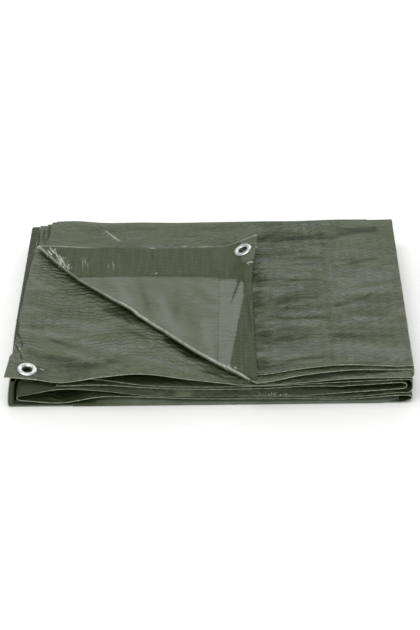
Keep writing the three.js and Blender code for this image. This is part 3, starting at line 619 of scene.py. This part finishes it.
class Cloth:
    """Gathers grids of points on the middle of the sheet into one closed skin."""

    def __init__(self):
        self.points = []
        self.faces = []
        self.flat = []
        self.marks = {name: [] for name in MARKS}
        self.count = 0

    def add(self, rows, marks, thickness=SHEET, hole=None, deep=1, rim=1.0):
        """Adds a grid; deep is the axis that its rows follow one another along, rim how pale its rim is
        painted, a painted highlight with wear.
        """
        p = np.asarray(rows, float)
        down, wide = p.shape[:2]
        thick = np.broadcast_to(thickness, (down, wide))[..., None] / 2
        ahead = np.gradient(p, axis=0)
        aside = np.gradient(p, axis=1)
        normal = unit(np.cross(aside, ahead))
        ids = np.arange(down * wide).reshape(down, wide)
        keep = np.ones((down - 1, wide - 1), bool)
        if hole is not None:
            away = np.hypot(p[..., 0] - hole["x"], p[..., 1] - hole["y"])
            inside = away < HOLE_RADIUS
            keep = ~(inside[:-1, :-1] & inside[1:, :-1] & inside[:-1, 1:] & inside[1:, 1:])
        top = self.count + ids
        bottom = top + down * wide
        quads = np.stack([top[:-1, :-1], top[:-1, 1:], top[1:, 1:], top[1:, :-1]], -1)[keep]
        backs = np.stack([bottom[:-1, :-1], bottom[1:, :-1], bottom[1:, 1:], bottom[:-1, 1:]], -1)[keep]
        self.faces += quads.tolist() + backs.tolist()
        self.faces += self.walls(top, bottom, keep)
        width = np.linalg.norm(np.diff(p, axis=1), axis=-1)
        run = np.concatenate([np.zeros((down, 1)), np.cumsum(width, axis=1)], axis=1)
        flat = np.stack([p[:, :1, 1 - deep] + run, p[..., deep]], -1)
        values = {name: np.broadcast_to(marks.get(name, 0), (down, wide)) for name in MARKS}
        rings = self.rings(p, normal, thick, ahead, aside)
        self.keep_points(p + normal * thick, flat, values)
        self.keep_points(p - normal * thick, flat, values)
        start = self.count
        loop = rings["loop"]
        at_rim = {name: value[loop] for name, value in values.items()}
        at_rim["rim"] = np.full(len(loop[0]), rim)
        for ring in rings["points"]:
            self.keep_points(ring, flat[loop], at_rim)
        size = len(loop[0])
        chain = [top[loop]]
        chain += [start + k * size + np.arange(size) for k in range(len(RIM_TURNS))]
        chain += [bottom[loop]]
        for upper, lower in zip(chain, chain[1:]):
            ahead_upper = np.roll(upper, -1)
            ahead_lower = np.roll(lower, -1)
            self.faces += np.stack([upper, lower, ahead_lower, ahead_upper], -1).tolist()

    def keep_points(self, points, flat, values):
        points = points.reshape(-1, 3)
        self.points.append(points)
        self.flat.append(np.asarray(flat).reshape(-1, 2))
        for name, value in values.items():
            self.marks[name].append(np.asarray(value, float).reshape(-1))
        self.count += len(points)

    def rings(self, p, normal, thick, ahead, aside):
        """Rounded rim: the points round the border, at each turn from the upper face to the lower."""
        down, wide = p.shape[:2]
        r = np.concatenate([np.zeros(wide - 1), np.arange(down - 1), np.full(wide - 1, down - 1),
                            np.arange(down - 1, 0, -1)]).astype(int)
        c = np.concatenate([np.arange(wide - 1), np.full(down - 1, wide - 1), np.arange(wide - 1, 0, -1),
                            np.zeros(down - 1)]).astype(int)
        ahead = unit(ahead)
        aside = unit(aside)
        out = np.zeros((len(r), 3))
        out -= ahead[r, c] * (r == 0)[:, None]
        out += ahead[r, c] * (r == down - 1)[:, None]
        out -= aside[r, c] * (c == 0)[:, None]
        out += aside[r, c] * (c == wide - 1)[:, None]
        out = unit(out)
        half = thick[r, c]
        points = [p[r, c] + half * (normal[r, c] * math.sin(a) + out * math.cos(a)) for a in RIM_TURNS]
        return {"loop": (r, c), "points": points}

    def walls(self, top, bottom, keep):
        """Walls round the open squares under an eyelet."""
        faces = []
        for r, c in np.argwhere(~keep):
            corners = [(r, c), (r, c + 1), (r + 1, c + 1), (r + 1, c)]
            beside = [(r - 1, c), (r, c + 1), (r + 1, c), (r, c - 1)]
            for k, (br, bc) in enumerate(beside):
                if 0 <= br < keep.shape[0] and 0 <= bc < keep.shape[1] and keep[br, bc]:
                    a = corners[k]
                    b = corners[(k + 1) % 4]
                    faces.append([int(top[a]), int(top[b]), int(bottom[b]), int(bottom[a])])
        return faces

    def build(self, name, material):
        mesh = bpy.data.meshes.new(name)
        mesh.from_pydata((np.concatenate(self.points) * MM).tolist(), [], self.faces)
        flat = np.concatenate(self.flat) * MM
        index = np.empty(len(mesh.loops), int)
        mesh.loops.foreach_get("vertex_index", index)
        layer = mesh.uv_layers.new(name="flat")
        layer.data.foreach_set("uv", flat[index].reshape(-1))
        for mark, parts in self.marks.items():
            data = mesh.attributes.new(mark, "FLOAT", "POINT")
            data.data.foreach_set("value", np.concatenate(parts))
        return show_smooth(name, mesh, material)


def depth_rows(count):
    """Shares of the depth, close together behind the rounded front edge."""
    front = np.array(FRONT_ROWS) / DEPTH
    return np.concatenate([front, np.linspace(front[-1], 1, count + 1)[1:]])


def top_left(name, y):
    if y < FLAP_TIP[1]:
        return float(along(FOLD_Y, FOLD_X, y)) + SETBACK[name]
    return mix(*TOP_LEFT[name], (y - FLAP_TIP[1]) / (PLIES[name]["back"] - FLAP_TIP[1]))


def top_row_left(name, t):
    x = 0
    for _ in range(EDGE_PASSES):
        x = top_left(name, ply_depth(name, x, t))
    return x


def top_rows(name, t_rows):
    """Depth shares with a pair of rows at the tip of the diagonal."""
    ply = PLIES[name]
    tip = (FLAP_TIP[1] - ply["front"]) / (ply["back"] - ply["front"])
    rows = t_rows[np.abs(t_rows - tip) > 2 * TIP_ROWS]
    return np.sort(np.append(rows, [tip - TIP_ROWS, tip + TIP_ROWS]))


def add_top_ply(cloth):
    rows = []
    for t in top_rows("top", depth_rows(FINE_ROWS)):
        fold = RIGHT_FOLDS["top"]
        right = fold_end(fold, t) + fold["reach"] - TOP_RIGHT_INSET
        left = top_row_left("top", t)
        middle = mix(left, right, float(np.interp(left, *TOP_LEFT_SHARE)))
        finer = np.linspace(left, middle, COLUMNS["top_left"])[:-1]
        xs = np.concatenate([finer, np.linspace(middle, right, COLUMNS["top"])])
        rows.append(ply_row("top", xs, t))
    cloth.add(rows, ply_marks(rows, [("top", len(rows[0]))]))


def add_upper_plies(cloth):
    rows = []
    for t in top_rows("under", depth_rows(FINE_ROWS)):
        fold = RIGHT_FOLDS["top"]
        right = fold_end(fold, t)
        under = ply_row("under", np.linspace(top_row_left("under", t), right, COLUMNS["under"]), t)
        left = float(np.interp(ply_depth("eyelet", 0, t), EYELET_EDGE_Y, EYELET_EDGE_X))
        coarse = np.linspace(right, EYELET_FINE_FROM, COLUMNS["eyelet_right"])[:-1]
        xs = np.concatenate([coarse, np.linspace(EYELET_FINE_FROM, left, COLUMNS["eyelet"])])
        eyelet = ply_row("eyelet", xs, t)
        rows.append(np.concatenate([under, nose(under[-1], eyelet[0], fold, 1), eyelet]))
    parts = [("under", len(under) + NOSE_STEPS - 1), ("eyelet", len(eyelet))]
    cloth.add(rows, ply_marks(rows, parts), hole=FRONT_EYELET)


def even_row(name, start, end, t):
    return ply_row(name, np.linspace(start, end, COLUMNS[name]), t)


def add_lower_plies(cloth):
    rows = []
    for t in depth_rows(COARSE_ROWS):
        left_fold = dict(LEFT_FOLDS["outer"])
        left_fold["lean"] *= 1 - smooth(LEAN_FADE * t)
        lens_right = fold_end(RIGHT_FOLDS["loose"], t)
        lens_left = fold_end(LEFT_FOLDS["lens"], t)
        outer_left = fold_end(LEFT_FOLDS["outer"], t)
        outer_right = fold_end(RIGHT_FOLDS["outer"], t)
        lower_right = fold_end(RIGHT_FOLDS["lower"], t)
        loose = even_row("loose", LOOSE_END, lens_right, t)
        lens = even_row("lens", lens_right, lens_left, t)
        lower = even_row("lower", lens_left, lower_right, t)
        floor = even_row("floor", FLOOR_RIGHT, outer_left, t)
        outer = even_row("outer", outer_left, outer_right, t)
        tongue = even_row("tongue", outer_right, TONGUE_END, t)
        pieces = [
            ("loose", loose),
            ("loose", nose(loose[-1], lens[0], RIGHT_FOLDS["loose"], 1)),
            ("lens", lens),
            ("lens", nose(lens[-1], lower[0], LEFT_FOLDS["lens"], -1, TALL_NOSE_STEPS)),
            ("lower", lower),
            ("lower", nose(lower[-1], floor[0], RIGHT_FOLDS["lower"], 1, TALL_NOSE_STEPS)),
            ("floor", floor),
            ("outer", nose(floor[-1], outer[0], left_fold, -1, 2 * TALL_NOSE_STEPS)),
            ("outer", outer),
            ("outer", nose(outer[-1], tongue[0], RIGHT_FOLDS["outer"], 1, 2 * TALL_NOSE_STEPS)),
            ("tongue", tongue),
        ]
        rows.append(np.concatenate([points for _, points in pieces]))
    cloth.add(rows, ply_marks(rows, [(name, len(points)) for name, points in pieces]))


def add_turned_in_end(cloth):
    """Cloth turned in across the front of the tall left fold."""
    fold = LEFT_FOLDS["outer"]
    at = np.array([float(fold["near"])])
    start = ply_row("floor", at, 0)[0]
    end = ply_row("outer", at, 0)[0]
    steps = TURN_IN["steps"]
    edge = nose(start, end, fold, -1, steps)
    edge = edge[round(TURN_IN["from"] * steps) - 1:round(TURN_IN["to"] * steps)]
    turns = stack(np.array(TURN_IN["right"]), np.array(TURN_IN["back"]), 0)
    rows = edge[:, None, :] + turns[None, :, :]
    thick = np.full(rows.shape[1], SHEET)
    thick[0] = HELD
    cloth.add(rows, {"tone": PLY_SHEEN_TO_SHADE["turned_in"], "ripple": END_RIPPLE}, thickness=thick)


def add_back_fold(cloth, above, below):
    """A fold along the back that joins a ply to the one below it."""
    rows = []
    hold = BACK_FOLD["hold"]
    for x in np.linspace(BACK_FOLD["left"], BACK_FOLD["right"], COLUMNS["back_fold"]):
        at = np.array([x])
        upper = ply_row(above, at, 1)[0]
        lower = ply_row(below, at, 1)[0]
        held = []
        for name, back in ((above, hold), (above, NEAR_END), (below, NEAR_END), (below, hold)):
            y = ply_depth(name, at, 1) - back
            held.append(stack(at, y, ply_height(name, at, y))[0])
        s = np.arange(1, NOSE_STEPS) / NOSE_STEPS
        bend = mix(upper, lower, ((1 - np.cos(math.pi * s)) / 2)[:, None])
        bend[:, 1] = mix(upper[1], lower[1], s) + BACK_FOLD["reach"] * np.sin(math.pi * s)
        rows.append(np.concatenate([held[:2], bend, held[2:]]))
    thick = np.full(len(rows[0]), SHEET)
    thick[0] = HELD
    thick[-1] = HELD
    cloth.add(rows, {"tone": PLY_SHEEN_TO_SHADE["back_fold"], "ripple": END_RIPPLE}, thickness=thick, deep=0)


def add_doubled_ply(cloth):
    """The floor ply's front edge doubled back over it, with a rounded front."""
    front = PLIES["floor"]["front"]
    rim = DOUBLED["rim"] + FLOOR_PLY
    rows = []
    for x in np.linspace(DOUBLED["left"], DOUBLED["right"], COLUMNS["doubled"]):
        body = float(along(DOUBLED["places"], DOUBLED["body"], x))
        s = np.arange(1, NOSE_STEPS) / NOSE_STEPS
        nose_back = NEAR_END - DOUBLED["bulge"] * np.sin(math.pi * s)
        nose_z = mix(FLOOR_PLY, rim, (1 - np.cos(math.pi * s)) / 2)
        share = np.linspace(0, 1, DOUBLED["round_steps"])
        round_z = mix(body, min(body, rim), (1 - share) ** 2)
        back = np.concatenate([[DOUBLED["hold"], NEAR_END], nose_back, NEAR_END + share * ROUND_DEPTH,
                               [DOUBLED["reach"] / 2, DOUBLED["reach"]]])
        hidden = mix(body, DOUBLED["hidden"], DOUBLED["hidden_share"])
        z = np.concatenate([[FLOOR_PLY, FLOOR_PLY], nose_z, round_z, [body, hidden]])
        to_end = (x - DOUBLED["end_from"]) / (DOUBLED["right"] - DOUBLED["end_from"])
        rows.append(stack(x, front + back + DOUBLED["end_back"] * smooth(to_end), z))
    thick = np.full(len(rows[0]), SHEET)
    thick[0] = HELD
    x = np.asarray(rows)[..., 0]
    # Painted shade: the doubled ply is painted darker towards its left end, where it meets the shaded floor
    # ply
    tone = mix(DOUBLED["shade_left"], DOUBLED["tone"], smooth((x - DOUBLED["left"]) / DOUBLED["shade_run"]))
    cloth.add(rows, {"tone": tone, "ripple": DOUBLED["ripple"]}, thickness=thick, deep=0)


def add_turned_corner(cloth):
    """From inside the ply below, round the diagonal fold and over the top."""
    seat = flap_seat()
    rows = []
    folds = []
    for share in np.linspace(FLAP_FIRST_ROW, 1, FLAP_ROWS):
        foot = mix(FLAP_FOOT_Y, FLAP_TIP[1], share)
        fold = float(fold_line(foot))
        right = float(flap_right(foot))
        start = spot(under_height, fold + BACK_FOLD["hold"], foot)
        lower = spot(under_height, fold, foot)
        upper = spot(flap_height, fold, foot)
        upper[2] = mix(lower[2] + FOOT_PINCH, upper[2], smooth(share / FOOT_SHARE))
        bend = nose(lower, upper, {"reach": NOSE_REACH, "square": 1}, -1, TALL_NOSE_STEPS)
        beside = np.array(BESIDE_FOLD) / (right - fold)
        beside = beside * min(1, BESIDE_SHARE / beside[-1])
        middle = np.linspace(beside[-1], FLAP_FINE_FROM, COLUMNS["flap"])[1:]
        across = np.concatenate([beside, middle, np.linspace(FLAP_FINE_FROM, 1, COLUMNS["flap_right"])[1:]])
        xs = mix(fold, right, across)
        ys = foot + share ** 2 * (flap_far(xs) - FLAP_TIP[1])
        zs = mix(lower[2] + FOOT_PINCH, flap_height(xs, ys), smooth(share / FOOT_SHARE))
        rows.append(np.concatenate([[start, lower], bend, [upper], stack(xs, ys, zs)]))
        folds.append(fold)
    p = np.asarray(rows)
    thick = np.full(p.shape[1], SHEET)
    thick[0] = HELD
    x = p[..., 0]
    y = p[..., 1]
    near = (x - np.array(folds)[:, None]) * ACROSS_FOLD
    # Painted highlight with wear along the top of the diagonal fold's nose, and along the far edge of the
    # turned corner
    fold_highlight_and_wear = np.interp(y, FOLD_HIGHLIGHT_AND_WEAR_Y, FOLD_HIGHLIGHT_AND_WEAR) * np.exp(-((near - FOLD_HIGHLIGHT_AND_WEAR_AT) / FOLD_HIGHLIGHT_AND_WEAR_HALF) ** 2)
    fold_highlight_and_wear[:, :TALL_NOSE_STEPS // 2 + 1] = 0
    tone = film_sheen_to_shade("flap", x, y)
    # Painted shade: the lower half of the fold's nose is painted deep green, as under the fold
    tone[:, :TALL_NOSE_STEPS // 2 + 2] = 1
    far_highlight_and_wear = np.interp(x, FAR_HIGHLIGHT_AND_WEAR_X, FAR_HIGHLIGHT_AND_WEAR) * np.exp(-((flap_far(x) - y) / FAR_HIGHLIGHT_AND_WEAR_HALF) ** 2)
    marks = {
        "wear_and_glint": crinkle_wear_and_glint("flap", x, y),
        "line": np.maximum(fold_highlight_and_wear, far_highlight_and_wear),
        "hem": hem_share(x, y),
        "tone": tone,
        "ripple": FLAP_RIPPLE,
    }
    cloth.add(p, marks, thickness=thick, hole=seat, rim=FLAP_RIM_HIGHLIGHT_AND_WEAR)


def flap_seat():
    x = FLAP_EYELET["x"]
    y = FLAP_EYELET["y"]
    return {"x": x, "y": y, "z": float(spot(flap_base, x, y)[2]), "slope": FLAP_EYELET["slope"]}


def lathe(name, outline, seat, material):
    """A ring turned about its own axis, which stands on the cloth."""
    points = []
    faces = []
    size = len(outline)
    for i in range(LATHE_STEPS):
        turn = 2 * math.pi * i / LATHE_STEPS
        for k, (radius, height) in enumerate(outline):
            points.append((radius * math.cos(turn) * MM, radius * math.sin(turn) * MM, height * MM))
            a = i * size + k
            b = i * size + (k + 1) % size
            c = ((i + 1) % LATHE_STEPS) * size
            faces.append((a, c + k, c + (k + 1) % size, b))
    mesh = bpy.data.meshes.new(name)
    mesh.from_pydata(points, [], faces)
    place = Matrix.Translation((seat["x"] * MM, seat["y"] * MM, seat["z"] * MM))
    mesh.transform(place @ Matrix.Rotation(-math.atan(seat["slope"]), 4, "Y"))
    return show_smooth(name, mesh, material)


class Nodes:
    """Short hand for building a node material."""

    def __init__(self, name):
        self.material = bpy.data.materials.new(name)
        self.material.use_nodes = True
        self.tree = self.material.node_tree
        self.shader = self.tree.nodes["Principled BSDF"]

    def add(self, kind, inputs=None, **settings):
        node = self.tree.nodes.new(kind)
        for key, value in settings.items():
            setattr(node, key, value)
        for key, value in (inputs or {}).items():
            self.set(node.inputs[key], value)
        return node

    def set(self, socket, value):
        if isinstance(value, bpy.types.NodeSocket):
            self.tree.links.new(value, socket)
        else:
            socket.default_value = value

    def math(self, operation, a, b=0.0, clamp=False):
        return self.add("ShaderNodeMath", {0: a, 1: b}, operation=operation, use_clamp=clamp).outputs[0]

    def blend(self, share, a, b):
        node = self.add("ShaderNodeMix", data_type="RGBA")
        self.set(node.inputs["Factor"], share)
        self.set(node.inputs["A"], a)
        self.set(node.inputs["B"], b)
        return node.outputs["Result"]

    def range(self, value, low, high, to_low=0.0, to_high=1.0):
        node = self.add("ShaderNodeMapRange", {
            "Value": value, "From Min": low, "From Max": high, "To Min": to_low, "To Max": to_high,
        }, interpolation_type="SMOOTHSTEP")
        return node.outputs[0]

    def noise(self, vector, scale, detail=2.0, roughness=0.5, distortion=0.0):
        node = self.add("ShaderNodeTexNoise", {
            "Vector": vector, "Scale": scale, "Detail": detail,
            "Roughness": roughness, "Distortion": distortion,
        })
        return node.outputs["Fac"]

    def stretch(self, vector, scale, turn=0.0):
        """Coordinates turned, and then stretched along their new axes."""
        turned = self.add("ShaderNodeMapping", {"Vector": vector, "Rotation": (0, 0, turn)})
        stretched = self.add("ShaderNodeMapping", {"Vector": turned.outputs["Vector"], "Scale": scale})
        return stretched.outputs["Vector"]

    def pattern(self, vector, name):
        scale, turn, detail, roughness, distortion = PATTERNS[name]
        return self.noise(self.stretch(vector, scale, turn), 1.0, detail, roughness, distortion)

    def mark(self, name):
        return self.add("ShaderNodeAttribute", attribute_name=name).outputs["Fac"]

    def bump(self, height, strength, distance, after=None):
        node = self.add("ShaderNodeBump", {"Height": height, "Strength": strength, "Distance": distance})
        if after is not None:
            self.set(node.inputs["Normal"], after)
        return node.outputs["Normal"]


def film_material():
    """Coated woven tape: olive, satin, with the tapes and fine ripples showing through."""
    n = Nodes("tarp_film")
    flat = n.add("ShaderNodeUVMap", uv_map="flat").outputs["UV"]
    wear_and_glint = n.mark("wear_and_glint")
    hem = n.range(n.mark("hem"), 0.4, 0.6)
    tone = film_shade(n, flat)

    # Grey is painted reflection, deep green is painted shade, and the film's own olive lies between
    colour = n.blend(n.range(tone, 0.1, 0.55), FILM_SHEEN_GREY, FILM_GREEN)
    colour = n.blend(n.range(tone, 0.55, 1.0), colour, FILM_SHADE_DEEP)
    hem_shade = n.blend(n.range(n.pattern(flat, "hem_shade"), 0.35, 0.7), HEM_GREEN, HEM_LIGHT)
    colour = n.blend(n.math("MULTIPLY", hem, n.range(tone, 0.25, 0.65, 0.0, 0.95)), colour, hem_shade)

    # Pale flakes on the worn crinkles: painted glints, with wear
    streaks = n.pattern(flat, "streaks")
    worn_glints = n.range(n.math("ADD", streaks, n.math("MULTIPLY", wear_and_glint, 0.22)), 0.64, 0.74)
    worn_glints = n.math("MULTIPLY", worn_glints, n.range(wear_and_glint, 0.1, 0.5))
    kinks = n.pattern(flat, "kinks")
    # Pale strokes: painted glints and highlights, with some wear
    glint_strokes = strokes(n, GLINT_AND_WEAR_LINES)
    # Dark strokes: painted shade in creases, and painted shadows under and beside the folds
    shade_strokes = strokes(n, SHADE_LINES)
    # Pale lines: painted highlight and wear along the diagonal fold and the far edge, with the pale strokes
    line = n.math("MULTIPLY", n.math("MAXIMUM", n.mark("line"), glint_strokes), n.range(kinks, 0.3, 0.6, 0.45, 1.0))
    # Rims painted paler: a painted highlight, with wear
    rim = n.math("MULTIPLY", n.mark("rim"), n.range(kinks, 0.35, 0.65, 0.4, 0.95))
    colour = n.blend(rim, colour, RIM_HIGHLIGHT_AND_WEAR)
    colour = n.blend(shade_strokes, colour, PAINTED_SHADE_DARK)
    colour = n.blend(n.math("MULTIPLY", line, 0.8), colour, HIGHLIGHT_AND_WEAR_PALE)
    colour = n.blend(n.math("MULTIPLY", worn_glints, 0.85), colour, WORN_GLINT_PALE)
    n.set(n.shader.inputs["Base Color"], colour)
    n.set(n.shader.inputs["Roughness"], n.range(tone, 0.2, 0.9, *FILM_ROUGHNESS))
    n.shader.inputs["IOR"].default_value = FILM_IOR
    n.shader.inputs["Specular IOR Level"].default_value = FILM_SPECULAR
    n.set(n.shader.inputs["Normal"], film_relief(n, flat, wear_and_glint, hem, streaks))
    return n.material


def strokes(n, rows):
    """A soft stroke, pointed at both ends, along each line of a table as seen from above."""
    place = n.add("ShaderNodeTexCoord").outputs["Object"]
    total = 0.0
    for x0, y0, x1, y1, width, strength in rows:
        half = math.hypot(x1 - x0, y1 - y0) / 2
        own = n.add("ShaderNodeMapping", {
            "Vector": place,
            "Location": ((x0 + x1) / 2 * MM, (y0 + y1) / 2 * MM, 0),
            "Rotation": (0, 0, math.atan2(y1 - y0, x1 - x0)),
            "Scale": ((half * 1.1 + width) * MM, STROKE_SPREAD * width * MM, STROKE_TALL),
        }, vector_type="TEXTURE").outputs["Vector"]
        ball = n.add("ShaderNodeTexGradient", {"Vector": own}, gradient_type="SPHERICAL").outputs["Fac"]
        total = n.math("MAXIMUM", total, n.math("MULTIPLY", ball, STROKE_GAIN * strength, clamp=True))
    return total


def film_shade(n, flat):
    """How green the film looks, from painted reflection, grey, to painted shade, deep green: given in the
    tables, broken up by long soft patches of painted sheen and by the ripples.
    """
    bands = n.pattern(flat, "bands")
    mottle = n.pattern(flat, "mottle")
    patches = n.blend(n.range(n.mark("ripple"), 0.25, 0.35), mottle, bands)
    fine = n.pattern(flat, "fine_bands")
    tone = n.math("ADD", n.mark("tone"), n.range(patches, 0.25, 0.75, -0.18, 0.18))
    fine = n.math("MULTIPLY", n.range(fine, 0.3, 0.7, -0.2, 0.2), n.mark("ripple"))
    return n.math("ADD", tone, fine)


def film_relief(n, flat, wear_and_glint, hem, streaks):
    """Weave, ripples that zigzag across the plies, ribs of the hem, its step, and the crinkles."""
    u, v, _ = n.add("ShaderNodeSeparateXYZ", {"Vector": flat}).outputs
    tape = 2 * math.pi / TAPE_PITCH
    weave = n.math("MULTIPLY", n.math("SINE", n.math("MULTIPLY", u, tape)),
                   n.math("SINE", n.math("MULTIPLY", v, tape)))
    across = n.math("MULTIPLY", n.pattern(flat, "furrows"), 0.7)
    zigzag = n.math("PINGPONG", n.math("MULTIPLY", u, 1 / ZIGZAG_LENGTH), 1.0)
    drift = n.math("MULTIPLY", n.pattern(flat, "drift"), 4.0)
    turns = n.math("ADD", n.math("MULTIPLY", zigzag, ZIGZAG_SWING), drift)
    turns = n.math("ADD", turns, n.math("MULTIPLY", v, 1 / WRINKLE_PITCH))
    wrinkles = n.math("SINE", n.math("MULTIPLY", turns, 2 * math.pi))
    strength = n.range(n.pattern(flat, "strength"), 0.35, 0.65, 0.14, 0.44)
    across = n.math("ADD", across, n.math("MULTIPLY", wrinkles, strength))
    ribs = n.pattern(flat, "hem_ribs")
    normal = n.bump(weave, 0.35, 0.0001)
    normal = n.bump(n.math("MULTIPLY", across, n.mark("ripple")), 1.0, 0.0028, normal)
    normal = n.bump(n.math("MULTIPLY", ribs, hem), 0.6, 0.0008, normal)
    normal = n.bump(hem, 0.8, 0.0006, normal)
    return n.bump(n.math("MULTIPLY", streaks, n.range(wear_and_glint, 0.05, 0.6)), 0.9, 0.0012, normal)


def aluminium_material():
    n = Nodes("bright_aluminium")
    place = n.add("ShaderNodeTexCoord").outputs["Object"]
    grain = n.noise(place, 900.0, 3.0, 0.6)
    n.set(n.shader.inputs["Base Color"], n.blend(grain, (0.42, 0.43, 0.44, 1), (0.56, 0.57, 0.58, 1)))
    n.set(n.shader.inputs["Roughness"], n.range(grain, 0.3, 0.7, 0.20, 0.34))
    n.shader.inputs["Metallic"].default_value = 1.0
    n.set(n.shader.inputs["Normal"], n.bump(grain, 0.15, 0.0001))
    return n.material


def floor_material():
    n = Nodes("pale_floor")
    n.shader.inputs["Base Color"].default_value = (0.86, 0.86, 0.86, 1)
    n.shader.inputs["Roughness"].default_value = 0.9
    n.shader.inputs["Specular IOR Level"].default_value = 0.1
    return n.material


def make_floor():
    mesh = bpy.data.meshes.new("floor")
    corners = [(x * FLOOR_HALF, y * FLOOR_HALF, 0) for x, y in ((-1, -1), (1, -1), (1, 1), (-1, 1))]
    mesh.from_pydata(corners, [], [(0, 1, 2, 3)])
    mesh.materials.append(floor_material())
    show("floor", mesh)


def make_light(name, place, size, power, colour):
    data = bpy.data.lights.new(name, "AREA")
    data.shape = "RECTANGLE"
    data.size = size[0]
    data.size_y = size[1]
    data.energy = power
    data.color = colour
    light = show(name, data)
    light.location = place
    aim = Vector(place) - Vector(LIGHT_TARGET)
    light.rotation_euler = aim.to_track_quat("Z", "Y").to_euler()


def make_lights():
    world = bpy.data.worlds.new("studio")
    world.use_nodes = True
    background = world.node_tree.nodes["Background"]
    background.inputs["Color"].default_value = WORLD_COLOUR
    background.inputs["Strength"].default_value = WORLD_STRENGTH
    bpy.context.scene.world = world
    for name, row in LIGHTS.items():
        make_light(name, *row)


def make_camera():
    data = bpy.data.cameras.new("camera")
    data.lens = CAMERA_LENS
    data.sensor_width = CAMERA_SENSOR
    data.sensor_fit = "AUTO"
    camera = show("camera", data)
    camera.location = CAMERA_PLACE
    camera.rotation_euler = (math.radians(CAMERA_TILT), 0, math.radians(CAMERA_TURN))
    bpy.context.scene.camera = camera


def make_tarp():
    cloth = Cloth()
    add_lower_plies(cloth)
    add_upper_plies(cloth)
    add_top_ply(cloth)
    add_back_fold(cloth, "top", "under")
    add_back_fold(cloth, "eyelet", "outer")
    add_doubled_ply(cloth)
    add_turned_in_end(cloth)
    add_turned_corner(cloth)
    tarp = cloth.build("tarp_cloth", film_material())
    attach(tarp, "root")
    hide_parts("tarp_sheet", "front_hem_corner", "turned_hem_corner")
    return tarp


def make_eyelets():
    metal = aluminium_material()
    rings = []
    for side, seat in (("front", FRONT_EYELET), ("turned", flap_seat())):
        for part, outline in (("eyelet", EYELET_OUTLINE), ("eyelet_washer", WASHER_OUTLINE)):
            ring = lathe(f"{side}_{part}_bright", outline, seat, metal)
            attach(ring, "root")
            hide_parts(f"{side}_{part}")
            rings.append(ring)
    return rings


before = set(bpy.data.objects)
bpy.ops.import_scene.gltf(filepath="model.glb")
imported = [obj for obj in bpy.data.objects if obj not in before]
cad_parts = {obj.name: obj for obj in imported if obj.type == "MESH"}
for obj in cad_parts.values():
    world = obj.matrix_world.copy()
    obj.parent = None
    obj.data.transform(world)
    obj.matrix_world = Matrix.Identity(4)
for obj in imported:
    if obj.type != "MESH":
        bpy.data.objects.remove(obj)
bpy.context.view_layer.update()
bpy.context.scene.view_settings.view_transform = "Standard"
make_camera()
make_lights()
make_floor()
tarp = make_tarp()
rings = make_eyelets()
